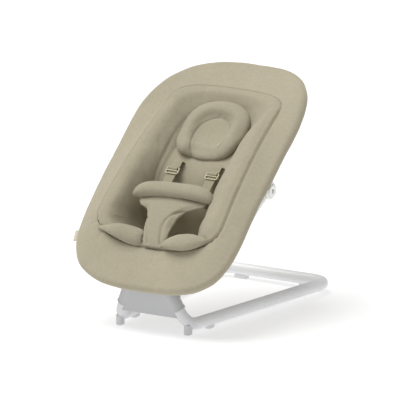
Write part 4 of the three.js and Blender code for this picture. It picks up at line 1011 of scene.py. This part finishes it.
def direction(azimuth, elevation):
    """Towards a place that is seen at those angles, in degrees, from the front."""
    a, e = math.radians(azimuth), math.radians(elevation)
    return Vector((math.sin(a) * math.cos(e), -math.cos(a) * math.cos(e), math.sin(e)))


def aimed(name, data, back):
    """A camera or a light that looks away from `back`."""
    obj = linked(name, data)
    obj.rotation_mode = "QUATERNION"
    obj.rotation_quaternion = (-back).to_track_quat("-Z", "Y")
    return obj


def make_camera():
    """Seen from the front right, a little above, from far away."""
    azimuth, back = math.radians(VIEW_AZIMUTH), direction(VIEW_AZIMUTH, VIEW_ELEVATION)
    right = Vector((math.cos(azimuth), math.sin(azimuth), 0))
    camera = aimed("camera", bpy.data.cameras.new("camera"), back)
    camera.data.type = "ORTHO"
    camera.data.ortho_scale = VIEW_WIDTH
    camera.data.clip_end = 60.0
    aim = Vector((0, ORIGIN_Y, 0)) + right * VIEW_ACROSS + back.cross(right) * VIEW_UP
    camera.location = aim + back * VIEW_FROM
    scene.camera = camera


def make_studio():
    scene.world = bpy.data.worlds.new("studio")
    scene.world.use_nodes = True
    background = scene.world.node_tree.nodes["Background"]
    background.inputs["Color"].default_value = (1.0, 1.0, 1.0, 1)
    background.inputs["Strength"].default_value = SKY_POWER
    key = aimed("key", bpy.data.lights.new("key", "SUN"), direction(SUN_AZIMUTH, SUN_ELEVATION))
    key.data.energy, key.data.angle = SUN_POWER, math.radians(SUN_WIDTH)
    scene.view_settings.view_transform = "Standard"
    material, t = new_material("floor_white")
    grain = node(t, "TexNoise", {"Scale": 3.0}).outputs["Fac"]
    close_material(
        t, mixed(t, grain, (0.50, 0.50, 0.50), (0.53, 0.53, 0.53)), 0.9,
        Specular_IOR_Level=0.1, Emission_Color=(1.0, 1.0, 1.0, 1), Emission_Strength=0.55,
    )
    corners = [(x * FLOOR_HALF, y * FLOOR_HALF, 0) for x, y in ((-1, -1), (1, -1), (1, 1), (-1, 1))]
    floor = new_object("floor", corners, [[0, 1, 2, 3]])
    floor.data.materials.append(material)


# ---------------------------------------------------------------- padded pieces

# The pillow's outline, from the foot end's middle round.
PILLOW = dict(
    half=75.5, head_half=91.5, foot=378.0, head=549.0,
    foot_round=60.0, head_round=90.0, foot_power=2.3, head_power=2.2,
)
PILLOW_SHIFT, PILLOW_SETTLE = -8.5, 4.0  # it lies a little to the left, and sinks into the back
PILLOW_MIDDLE = np.array([0.0, 455.0])
ROLL_WIDTH, ROLL_HEIGHT, PANEL_HEIGHT = 42.0, 31.0, 11.0
PILLOW_UNDER = 1.8  # the height of its underside
OPEN_HALF = 36.0  # half the width of the panel's foot edge, where there is no roll
PILLOW_SEAM = [
    (-30, 381), (-38, 404), (-47, 430), (-50, 456), (-45, 480), (-30, 496), (-7, 503),
    (16, 496), (31, 479), (38, 456), (38, 432), (33, 411),
]
# The leg pads, as rows of (x, s, half width, half height).
LEG_PAD_RIGHT = [
    (27, 114, 3, 3), (40, 117, 11, 9), (62, 121, 18, 13.5), (86, 124, 20.5, 15),
    (108, 127, 18.5, 14), (128, 132, 12, 9), (144, 137, 3, 3),
]
LEG_PAD_LEFT = [
    (-33, 125, 13, 12), (-40, 126, 19, 15.5), (-58, 127, 21.5, 17), (-82, 128, 20, 15.5),
    (-108, 129, 14.5, 12), (-130, 130, 8.5, 7), (-151, 131, 2.5, 2.5),
]
# The waist pad: half its length, its middle, its half sizes, how its middle line bows and leans.
WAIST = dict(half=103.0, s=246.0, h=10.3, wide=18.0, high=16.0, bow_s=9.0, bow_h=11.0, skew=5.0)
# The crotch pad's edges and its two sewn folds, as flat points.
CROTCH_LEFT = [
    (-22, 107), (-28, 118), (-34, 134), (-43, 162), (-50, 188), (-57, 200), (-76, 210),
    (-84, 222), (-88, 238),
]
CROTCH_RIGHT = [
    (25, 107), (32, 118), (36, 134), (38, 162), (42, 188), (53, 205), (70, 218), (86, 230), (90, 238),
]
CROTCH_FOLDS = [
    [(-56, 202), (-46, 184), (-36, 163), (-27, 146), (-19, 130), (-12, 113)],
    [(50, 206), (38, 202), (26, 192), (17, 178), (13, 160), (16, 138), (22, 114)],
]
CROTCH_FOOT, CROTCH_HEAD, CROTCH_LENGTH = 107, 243, 130
CROTCH_UP, CROTCH_DOWN = 5.2, 4.6  # how far its faces stand off its middle


CLOTH = dict(
    quality=6, mass=0.25, tension_stiffness=14.0, compression_stiffness=14.0, shear_stiffness=6.0,
    bending_stiffness=0.4, use_pressure=True, shrink_min=-0.04,
)
CLOTH_FRAMES = 20
REST_GAP = 0.4


def swell(obj, voxel, pressure, cap):
    """Fills a closed piece like a cushion by cloth simulation; no point moves further than `cap` mm."""
    baked(obj, REMESH=dict(mode="VOXEL", voxel_size=voxel * MM, use_smooth_shade=True))
    before = coords(obj)
    settings = obj.modifiers.new("cloth", "CLOTH").settings
    for key, value in CLOTH.items():
        setattr(settings, key, value)
    settings.uniform_pressure_force = pressure
    settings.effector_weights.gravity = 0.0
    for f in range(1, CLOTH_FRAMES + 1):
        scene.frame_set(f)
    filled_out = obj.evaluated_get(bpy.context.evaluated_depsgraph_get())
    after = read(filled_out.to_mesh().vertices, "co", 3).astype(float)
    filled_out.to_mesh_clear()
    obj.modifiers.clear()
    scene.frame_set(1)
    move = after - before
    far = np.linalg.norm(move, axis=1, keepdims=True)
    move *= np.minimum(1, cap * MM / np.maximum(far, 1e-9))
    set_coords(obj, before + relaxed(move, obj, 4))


def cushion(name, rings, tree, voxel, pressure, cap, soft, rumple, relax=0):
    """A filled piece that rests on a surface: what would sink into it is lifted, and flattened there.

    `soft` is how far off the surface that flattening reaches; `rumple` is the size, scale and seed of
    the unevenness of its cloth.
    """
    obj = loft(name, rings)
    swell(obj, voxel, pressure, cap)
    if relax:
        set_coords(obj, relaxed(coords(obj), obj, relax))
    p = seat_xsh(coords(obj))
    floor = heights(p[:, :2], tree) + REST_GAP
    low = floor > p[:, 2] - soft
    over = p[:, 2] - floor
    p[low, 2] = (floor + np.where(over < 0, 0, over))[low]
    set_coords(obj, to_xyz(p))
    baked(obj, SUBSURF=dict(levels=1, render_levels=1))
    amount, scale, seed = rumple
    uneven(obj, noise(seat_xsh(coords(obj)), scale, seed) * amount)
    return obj


def box_uv(obj):
    """Flat coordinates in metres, from the side of the seat's frame that each face looks to."""
    mesh = obj.data
    p = (seat_xsh(coords(obj)) * MM)[loop_vertices(mesh)]
    normal = read(mesh.polygons, "normal", 3)
    along, off = seat_axes(SEAT_LENGTH / 2)
    side = np.argmax(np.abs(np.stack([normal[:, 0], normal @ along, normal @ off], -1)), 1)
    counts = read(mesh.polygons, "loop_total", 1, np.int32)
    axes = np.array([[1, 2], [0, 2], [0, 1]])[np.repeat(side, counts)]
    set_uv(mesh, np.take_along_axis(p, axes, 1))


def pillow_rings():
    """The roll and the panel inside it, in one closed surface."""
    line = outline(**PILLOW, quarter=44, side=6)
    out = loop_out(line)
    under = [line - out * inset * ROLL_WIDTH for inset in (1.1, 0.6, 0.25)]
    under.insert(0, PILLOW_MIDDLE + (under[0] - PILLOW_MIDDLE) * 0.4)
    loops = [lifted(flat, PILLOW_UNDER) for flat in under]
    for turn in [*np.linspace(-70, 90, 13)[:-1], *np.linspace(90, 160, 10)]:
        # round the roll's outer side and over its top, then down its inner side to the panel
        a = math.radians(turn)
        inner_side = turn >= 90
        inset = (1 - (math.cos(a) if inner_side else math.cos(a) ** 0.85)) * ROLL_WIDTH / 2
        flat = line - out * inset
        x, s = flat.T
        # no roll where the panel runs out at the foot: it ends at a seam on the left, and fades on the right
        kept = np.where(x < 0, smoothstep(-x, OPEN_HALF - 14, OPEN_HALF + 8), smoothstep(x, 26, 76))
        share = 1 - (1 - smoothstep(s, 398, 446)) * (1 - kept)
        rise = PANEL_HEIGHT + (ROLL_HEIGHT - PANEL_HEIGHT) * share
        level = PANEL_HEIGHT * (1 - 0.2 * share)
        if inner_side:
            h = level + (rise - level) * math.sin(a) ** 1.3
        else:
            h = rise / 2 + math.copysign(abs(math.sin(a)) ** 0.9, a) * rise / 2
        loops.append(lifted(flat, h))
    edge = loops[-1]
    for share in (0.9, 0.75, 0.58, 0.4, 0.22, 0.08):
        flat = PILLOW_MIDDLE + (edge[:, :2] - PILLOW_MIDDLE) * share
        loops.append(lifted(flat, edge[:, 2] + (PANEL_HEIGHT - edge[:, 2]) * (1 - share) ** 0.6))
    loops = np.array(loops)
    loops[..., 0] += PILLOW_SHIFT
    loops[..., 2] += -bowl_depth(loops[..., 1]) - PILLOW_SETTLE
    return loops


def build_pillow(tree):
    obj = cushion("head_pillow", pillow_rings(), tree, 3.6, 3.0, 4.5, 3.0, (0.5, 26, 61), relax=8)
    # the seam that joins the roll to the panel, with shade painted along it: it stops short at the lower
    # right
    inner = laid(spline(PILLOW_SEAM, 90), obj)
    seam(obj, inner, 2.6, 1.9, (0.6, 9, 11, 62), 0.55)
    # the seam round the side of the roll, with shade painted along it
    line = outline(**PILLOW, quarter=40, side=6) + [PILLOW_SHIFT, 0]
    side = nearest(obj, to_xyz(lifted(line, 9.0 - PILLOW_SETTLE - bowl_depth(line[:, 1]))))
    seam(obj, side, 1.6, 1.5, (0.7, 6, 9, 63), 0.6, closed=True)
    return obj


def oval_ring(x, s, h, wide, high, count=20, power=2.2, squarer=0.0):
    """A ring of (x, s, h) points that faces along x."""
    u, v = superellipse(wide, high, count, power, squarer).T
    return np.stack([np.full(count, float(x)), s + u, h + v], -1)


def build_leg_pad(name, table, tree, seed):
    """A leaf-shaped pad from rows of (x, s, half width, half height)."""
    table = spline(table, 26)
    rings = [
        oval_ring(x, s, max(ground, -4.0) + 0.62 * high + 1.0, wide, high)
        for (x, s, wide, high), ground in zip(table, heights(table[:, :2], tree))
    ]
    obj = cushion(name, rings, tree, 2.8, 5.0, 4.5, 1.0, (0.7, 24, seed))
    # small gathers at both tips
    x, s, h = seat_xsh(coords(obj)).T
    tip = 1 - smoothstep(np.minimum(np.abs(x - table[0, 0]), np.abs(x - table[-1, 0])), 4, 26)
    angle = np.arctan2(h - h.mean(), s - s.mean())
    gather = noise(np.stack([angle * 10, x * 0.12, x * 0], -1), 2.2, seed + 1)
    uneven(obj, gather * tip * 0.8)
    # the seam round its edge, low at the front, with shade painted along it
    front = np.column_stack([table[:, 0], table[:, 1] - table[:, 2]])
    line = lifted(front, np.maximum(heights(front, tree), 0) + 0.45 * table[:, 3])
    seam(obj, nearest(obj, to_xyz(line)), 1.3, 1.0, (0.6, 6, 8, seed + 2), 0.55)
    return obj


def waist_at(t):
    """The waist pad's middle (x, s, h) and half sizes, from -1 at its left end to 1 at its right one."""
    w, rise = WAIST, 1 - t**4
    full = max(1 - abs(t) ** 7, 0.03) ** 0.5
    # the ends are rounded, and draw towards the lower edge
    s = w["s"] + w["bow_s"] * rise - (1 - full) * w["wide"] * 0.3 + w["skew"] * t
    h = w["h"] + w["bow_h"] * rise + (1 - full) * 3.0
    return w["half"] * t, s, h, w["wide"] * full, w["high"] * full


def build_waist_pad(tree):
    rings = [oval_ring(*waist_at(t), count=24, power=2.15, squarer=2.2) for t in np.linspace(-1, 1, 34)]
    obj = cushion("waist_pad_cover", rings, tree, 3.0, 4.0, 3.5, 0.5, (0.6, 30, 71))
    places = [waist_at(t) for t in np.linspace(-0.94, 0.94, 60)]
    edges = ((-0.93, -0.5), (0.96, -0.45))
    lines = [
        nearest(obj, [seat_xyz(x, s + ds * wide, h + dh * high) for x, s, h, wide, high in places])
        for ds, dh in edges
    ]
    # its two edge seams, with shade painted along them
    for line, (width, depth, dark, seed) in zip(lines, ((1.7, 1.8, 0.7, 72), (1.5, 1.4, 0.6, 73))):
        seam(obj, line, width, depth, (0.6, 8, 10, seed), dark)
    return obj


def crotch_middle(x, s, t):
    """The crotch pad's middle height: it bellies between its ends, and droops where it flares."""
    return 10 - t + 24 * t * (1 - t) - 8 * smoothstep(s, 196, 232) * (x / 88) ** 2


def build_crotch_pad(tree):
    edges = [spline(edge, 90)[:, ::-1].T for edge in (CROTCH_LEFT, CROTCH_RIGHT)]
    u = np.cos(np.linspace(0, math.pi, 22))  # from the right edge to the left
    bulge = np.sqrt(np.maximum(1 - u**2, 0)) ** 0.7
    rings = []
    for s in np.linspace(CROTCH_FOOT, CROTCH_HEAD, 36):
        t = min((s - CROTCH_FOOT) / CROTCH_LENGTH, 1.0)
        end = min(1.0, 0.35 + 5 * t, 0.6 + 6 * (CROTCH_HEAD - s) / CROTCH_LENGTH)
        left, right = (np.interp(s, *edge) for edge in edges)
        x = left + (right - left) * (u + 1) / 2
        flat, middle = np.stack([x, np.full(len(x), s)], -1), crotch_middle(x, s, t)
        under = lifted(flat, middle - CROTCH_DOWN * end * bulge)[::-1][1:-1]
        rings.append(np.concatenate([lifted(flat, middle + CROTCH_UP * end * bulge), under]))
    obj = cushion("crotch_pad_cover", rings, tree, 3.2, 3.5, 3.5, 0.3, (0.6, 26, 81))
    # its two sewn folds, with shade painted along them
    for k, flat in enumerate(CROTCH_FOLDS):
        seam(obj, laid(spline(flat, 60), obj), 3.6, 3.2, (0.5, 9, 14, 82 + k), 0.45)
    lines = []
    for edge in (CROTCH_LEFT, CROTCH_RIGHT):
        x, s = np.array(edge, float).T
        h = crotch_middle(x, s, (s - CROTCH_FOOT) / CROTCH_LENGTH)
        lines.append(nearest(obj, spline(seat_xyz(x, s, h), 60)))
    # the seams along its edges, with shade painted along them
    for k, line in enumerate(lines):
        seam(obj, line, 1.2, 1.0, (0.5, 6, 9, 85 + k), 0.5)
    return obj


# ---------------------------------------------------------------- harness

STRAP_T, STRAP_W, WAIST_W = 1.8, 25.0, 22.0
SLIDE_HALF, SLIDE_LONG, SLIDE_ROUND = 16.0, 8.6, 3.2  # the adjuster's ring: half sizes and corners
BAR_HALF, RING_H, LOW_BAR_H, POST_HALF = 15.2, 2.9, -2.6, 3.4
ADJUSTER_AT = 0.44  # where it sits between the strap's top and end
TAB_S, TAB_TILT, TAB_W, TAB_T = 121, math.radians(-12), 26.0, 0.7
SHOULDER_X = 54.0
STRAP_TOP, STRAP_END = seat_xyz(SHOULDER_X, 363, -16), seat_xyz(SHOULDER_X, 290, -16)
X_AXIS = np.array([1.0, 0, 0])


def ribbon(name, path, across=X_AXIS, width=STRAP_W, thick=STRAP_T, sides=28):
    """A woven strap along a path, its width along `across`."""
    section = superellipse(width * MM / 2, thick * MM / 2, sides, 7.0)
    return face_out(sweep(name, path, section, np.cross(across, unit(np.gradient(path, axis=0)))))


def build_shoulder_strap():
    """Out of its slot in the back, straight through the adjuster, and on to the tongue."""
    start = [seat_xyz(SHOULDER_X, s, h) for s, h in ((372.5, -39.5), (370.5, -35), (368, -28))]
    run = [STRAP_TOP + (STRAP_END - STRAP_TOP) * t for t in (0.03, 0.15, 0.35, 0.6, 0.85, 0.97)]
    end = [seat_xyz(SHOULDER_X, s, h) for s, h in ((276, -8.5), (266, 0.5), (258, 1.6), (240, 0.4))]
    return ribbon("shoulder_webbing_right", spline(start + run + end, 110))


def at_adjuster(points):
    """Points from millimetres across, along and off the shoulder strap, at its adjuster."""
    along = unit(STRAP_TOP - STRAP_END)
    axes = np.array([X_AXIS, along, np.cross(X_AXIS, along)])
    return STRAP_TOP + (STRAP_END - STRAP_TOP) * ADJUSTER_AT + (np.array(points, float) * MM) @ axes


def build_adjuster():
    """A three-bar slide: a flat ring over the strap, a bar across it, one below, and side posts."""
    origin, along, up = at_adjuster([(0, 0, 0), (0, 1, 0), (0, 0, 1)])
    along, up = unit(along - origin), unit(up - origin)
    turn = np.linspace(0, math.pi / 2, 7)
    middle_x, middle_y = SLIDE_HALF - SLIDE_ROUND, SLIDE_LONG - SLIDE_ROUND
    loop = [
        (sx * middle_x + SLIDE_ROUND * math.cos(a), sy * middle_y + SLIDE_ROUND * math.sin(a), RING_H)
        for k, (sx, sy) in enumerate(((1, -1), (1, 1), (-1, 1), (-1, -1)))
        for a in turn + (k - 1) * math.pi / 2
    ]
    bars = [
        ([(x, 0, h) for x in np.linspace(-BAR_HALF, BAR_HALF, 12)], wide)
        for h, wide in ((RING_H, 3.0), (LOW_BAR_H, 3.6))
    ]
    posts = [[(x, 0, h) for h in np.linspace(-POST_HALF, POST_HALF, 6)] for x in (-BAR_HALF, BAR_HALF)]
    pieces = [sweep("ring", at_adjuster(loop), superellipse(1.5 * MM, 1.3 * MM, 16, 2.6), up, closed=True)]
    for line, wide in bars:
        pieces.append(sweep("bar", at_adjuster(line), superellipse(wide * MM / 2, 1.1 * MM, 16, 2.6), up))
    for line in posts:
        pieces.append(sweep("post", at_adjuster(line), superellipse(1.2 * MM, 2.5 * MM, 16, 3), along))
    return joined("adjuster_frame_right", [face_out(piece) for piece in pieces])


def build_adjuster_loop():
    """The sewn end of webbing that wraps the adjuster's upper bar."""
    line = [(0, 1.8, 2.4), (0, 3.4, 4.5), (0, 6.4, 5.5), (0, 9.4, 4.9), (0, 11.6, 2.9), (0, 13.2, 2.1)]
    return ribbon("adjuster_loop_right", at_adjuster(spline(line, 30)), -X_AXIS, 23.5, 1.6)


def build_waist_strap():
    route = [(69.8, 246, -3), (75, 246, -3.6), (84, 246, -12), (97, 246, -27.5), (108, 246, -40.5)]
    return ribbon("waist_webbing_right", spline(to_xyz(np.array(route)), 40), seat_axes(246.0)[0], WAIST_W)


def build_crotch_strap():
    route = [(224.7, -3), (212, -5), (199, -7), (170, -9.5), (140, -11), (118, -13), (104, -18)]
    return ribbon("crotch_webbing", spline([seat_xyz(0, s, h) for s, h in route], 60))


def build_label_tab():
    """A folded tab of tape sewn into the hem's outer side."""
    i = np.argmin(np.abs(RIM_LOOP[:, 1] - TAB_S) + 1e3 * (RIM_LOOP[:, 0] > 0))  # on the left
    along, up = seat_axes(RIM_LOOP[i, 1])
    out = X_AXIS * RIM_OUT[i, 0] + along * RIM_OUT[i, 1]
    away = math.cos(TAB_TILT) * out + math.sin(TAB_TILT) * up
    side = -math.sin(TAB_TILT) * out + math.cos(TAB_TILT) * up
    root = seat_xyz(*RIM_LOOP[i], RIM_H[i]) + away * (HEM - 0.5) * MM
    half = [(0, 0.9), (5, 1.0), (9.5, 1.25), (12.2, 1.1)]
    loop = half + [(13.4, 0.0)] + [(u, -v) for u, v in half[::-1]]
    path = spline([root + (away * u + side * v) * MM for u, v in loop], 40)
    return ribbon("side_tab", path, np.cross(side, away), TAB_W, TAB_T, 24)


# ---------------------------------------------------------------- tubes, bridge, hubs and feet

TUBE_Z, FRONT_HALF, REAR_HALF, REAR_Y = 22.0, 93.0, 150.6, 528.5
LEG_TOP, FRONT_BEND, REAR_BEND = (55.0, -18.0, 100.0), 38.0, 45.0
FLOOR_R, ARM_R, CROSS_R = 14.0, 10.0, 8.0
RAIL_PAD_Y, REAR_PAD_IN = 84.0, 62.0
HUB_XYZ = seat_xyz(0, 329, -33)
HUB_INNER, CAP_AT = 193.75, 213.05
# Turned shapes, as (radius, distance along the axis).
HUB_PROFILE = [
    (0, 0), (16.5, 0), (19, 0.5), (20.4, 1.7), (21, 3.6), (21, 14.2), (20.6, 16.4), (19.6, 18.0),
    (18.2, 18.8), (16.6, 19), (15.7, 18.9), (15.4, 18.4), (15.2, 17.6), (0, 17.6),
]
CAP_PROFILE = [
    (0, -1.2), (14.6, -1.2), (15, -0.6), (15, 1.3), (14.7, 2.1), (13.9, 2.7), (12.6, 3.0), (5.6, 2.9),
    (5.0, 2.5), (4.7, 1.8), (4.6, 0.7), (0, 0.7),
]
# These four are in metres.
CROSS_X, CROSS_GAP = 0.118, 0.004  # where the cross tube meets the arms, and its gap to their middles
PIPE_ROOM = 0.00005  # what the feet are cut wider than the tube
SAME_PLACE = 1e-6  # points closer than this are one
ARM_BACK = np.array([-0.36, -0.55, -0.8])  # the arm's direction where it leaves the hub
FOOT_EDGE = [(0, 1.8), (0.5, 0.9), (1.3, 0.3), (2.4, 0)]  # (height, inset) of a foot's rounded lower edge


def floor_route():
    """The floor tube's line, from the top of the right leg round to the top of the left one."""
    right = [working(*LEG_TOP), working(FRONT_HALF, 0, TUBE_Z), working(REAR_HALF, REAR_Y, TUBE_Z)]
    route = right + [p * [-1, 1, 1] for p in right[::-1]]
    bends = [
        bezier(a, b, c, reach * MM)
        for a, b, c, reach in zip(route, route[1:], route[2:], (FRONT_BEND, REAR_BEND, REAR_BEND, FRONT_BEND))
    ]
    return filled(np.concatenate([route[:1], *bends, route[-1:]]), 12 * MM)


def arm_route():
    rise = unit(HUB_XYZ - working(0, HINGE_Y, HINGE_Z))
    start = working(43.5, HINGE_Y, HINGE_Z) + rise * 8 * MM
    hub = HUB_XYZ + X_AXIS * ((RIM["half"] - 2.15) * MM)
    bend = start + rise * 18 * MM + X_AXIS * (4.5 * MM)
    middle = [working(118, 74, 152), working(160, 120, 226)]
    return spline([start, bend, *middle, hub + ARM_BACK * 2.3 * 21 * MM, hub + ARM_BACK * 10 * MM], 90)


def pipe(name, path, radius, sides=40):
    return face_out(sweep(name, path, superellipse(radius * MM, radius * MM, sides)))


def rounded_copy(name, source, rounds, keep):
    """A CAD node's shape with its edges rounded as moulding leaves them."""
    obj = baked(cad_copy(name, source), REMESH=dict(mode="VOXEL", voxel_size=1.0 * MM, use_smooth_shade=True))
    set_coords(obj, relaxed(coords(obj), obj, rounds))
    baked(obj, DECIMATE=dict(ratio=keep)).data.shade_smooth()
    return obj


def eased_copy(source):
    """A CAD node's shape with its sharp edges bevelled."""
    obj = baked(
        cad_copy(source + "_eased", source),
        WELD=dict(merge_threshold=SAME_PLACE),
        DECIMATE=dict(decimate_type="DISSOLVE", angle_limit=math.radians(1.0)),
        BEVEL=dict(
            width=0.5 * MM, segments=2, limit_method="ANGLE", angle_limit=math.radians(38),
            use_clamp_overlap=True,
        ),
    )
    obj.data.shade_smooth()
    return baked(obj, WEIGHTED_NORMAL=dict(keep_sharp=True))


def turned(name, profile, x, side):
    """A lathed piece at a hub's axis, with its poles closed."""
    radius, offset = np.array(profile, float).T[:, :, None]
    a = np.linspace(0, 2 * math.pi, 72, endpoint=False)
    p = np.stack([side * (x + offset) + 0 * a, radius * np.cos(a), radius * np.sin(a)], -1) * MM
    rows = len(profile)
    faces = grid_faces(rows, len(a), flip=side > 0).tolist()
    obj = new_object(name, (p + HUB_XYZ).reshape(-1, 3), faces)
    return face_out(baked(obj, WELD=dict(merge_threshold=SAME_PLACE)))


def cupped(name, x, y, width, length, top):
    """A moulded block under the floor tube, cut to fit it."""
    edge = FOOT_EDGE[-1][0]
    levels = FOOT_EDGE + [(edge + (top - edge) * k / 8, 0) for k in range(1, 9)]
    rings = []
    for z, off in levels:
        loop = superellipse((width - 2 * off) / 2, (length - 2 * off) / 2, 48, 4.5)
        rings.append([working(x + u, y + v, z) for u, v in loop])
    obj = face_out(capped(name, np.array(rings)))
    return baked(obj, BOOLEAN=dict(operation="DIFFERENCE", solver="EXACT", object=tube_room))


# ---------------------------------------------------------------- the model


def place(obj, body, slot, *replaced, look=None):
    obj.data.materials.clear()
    obj.data.materials.append(LOOKS[look or slot])
    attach(obj, body)
    if replaced:
        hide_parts(*replaced)
    return obj


# The mechanism's and the buckle's nodes whose own shapes are shown, with their edges eased.
EASED = {
    "floor_frame": ("hinge_axle", "bridge_screw_right", "bridge_screw_left"),
    "seat": (
        "hinge_knuckle_right", "hinge_knuckle_left", "hub_screw_right", "hub_screw_left",
        "buckle_tongue_right", "buckle_tongue_left", "buckle_body",
    ),
    "bounce_carrier": ("bounce_carrier",),
    "release_lever": ("release_lever",),
    "buckle_button": ("buckle_button",),
}
SIDES = (("right", 1), ("left", -1))

make_camera()
make_studio()

band = place(build_band(), "seat", "cover_fabric", "rim_band", look="cover")
lining = place(build_lining(), "seat", "inlay_fabric", "inlay", look="lining")
sling = place(build_sling(), "seat", "cover_fabric", "sling", look="cover")
place(build_label_tab(), "seat", "webbing", "label_tab", look="tape")
# the outer cloth is pulled over the frame tube and its shaped panels take the bowl's form
surface = tree_of(lining, band)
for piece, fill, *replaced in (
    (build_pillow(surface), 0.85, "pillow_ring", "pillow_centre"),
    (build_crotch_pad(surface), 0.6, "crotch_pad"),
    (build_leg_pad("leg_pad_cover_right", LEG_PAD_RIGHT, surface, 91), 0.9, "leg_pad_right"),
    (build_leg_pad("leg_pad_cover_left", LEG_PAD_LEFT, surface, 101), 0.9, "leg_pad_left"),
    (build_waist_pad(surface), 0.85, "waist_pad"),
):
    box_uv(piece)
    place(piece, "seat", "pad_fabric", *replaced)

strap, adjuster, loop, waist_strap = (
    build_shoulder_strap(), build_adjuster(), build_adjuster_loop(), build_waist_strap()
)
for side, sign in SIDES:
    if sign < 0:
        strap, adjuster, loop, waist_strap = (mirrored(o) for o in (strap, adjuster, loop, waist_strap))
    place(strap, "seat", "webbing", "shoulder_strap_" + side)
    place(adjuster, "adjuster_" + side, "sand_plastic", "strap_adjuster_" + side)
    place(loop, "adjuster_" + side, "webbing")
    place(waist_strap, "seat", "webbing", "waist_strap_" + side)
place(build_crotch_strap(), "seat", "webbing", "crotch_strap")

floor_path, arm_path = floor_route(), arm_route()
place(pipe("floor_pipe", floor_path, FLOOR_R), "floor_frame", "grey_paint", "floor_tube", look="floor")
tube_room = sweep("tube_room", floor_path, superellipse(*[FLOOR_R * MM + PIPE_ROOM] * 2))
rail_x = FRONT_HALF + (REAR_HALF - FRONT_HALF) * RAIL_PAD_Y / REAR_Y
for side, sign in SIDES:
    for name, cad, x, y, size, slot, look in (
        ("foot_", "foot_block_", FRONT_HALF, 3, (15, 19, 25), "grey_plastic", "foot"),
        ("rail_rubber_", "rail_pad_", rail_x, RAIL_PAD_Y, (13, 26, 12.5), "grey_rubber", None),
        ("rear_rubber_", "rear_pad_", REAR_HALF - REAR_PAD_IN, REAR_Y, (34, 18, 12.5), "grey_rubber", None),
    ):
        place(cupped(name + side, sign * x, y, *size), "floor_frame", slot, cad + side, look=look)
    arm = pipe("arm_pipe_" + side, arm_path * [sign, 1, 1], ARM_R)
    place(arm, "seat", "grey_paint", "arm_" + side)
    for name, cad, profile, x in (
        ("hub_housing_", "hub_body_", HUB_PROFILE, HUB_INNER), ("hub_cover_", "hub_cap_", CAP_PROFILE, CAP_AT)
    ):
        place(turned(name + side, profile, x, sign), "seat", "grey_plastic", cad + side, look="hub")
    spring = cad_copy("spring_coil_" + side, "torsion_spring_" + side)
    baked(spring, WELD=dict(merge_threshold=SAME_PLACE), SUBSURF=dict(levels=1, render_levels=1))
    spring.data.shade_smooth()
    place(spring, "floor_frame", "plain_steel", "torsion_spring_" + side)
bpy.data.objects.remove(tube_room)
for name, rounds, keep in (("front", 9, 0.3), ("rear", 3, 0.25)):
    shell = rounded_copy("bridge_" + name, f"bridge_{name}_shell", rounds, keep)
    place(shell, "floor_frame", "grey_plastic", f"bridge_{name}_shell")
near = arm_path[np.argmin(np.abs(arm_path[:, 0] - CROSS_X))]
half = near[0] - CROSS_GAP
cross_path = np.array([(x, *near[1:]) for x in np.linspace(-half, half, 40)])
place(pipe("cross_pipe", cross_path, CROSS_R, 36), "seat", "grey_paint", "cross_tube")

for body, sources in EASED.items():
    for source in sources:
        slot = nodes[source].data.materials[0].name.split(".")[0]
        place(eased_copy(source), body, slot, source)
for obj in nodes.values():
    for k, old in enumerate(obj.data.materials):
        name = (old.name if old else "").split(".")[0]
        if name in LOOKS:
            obj.data.materials[k] = LOOKS[name]
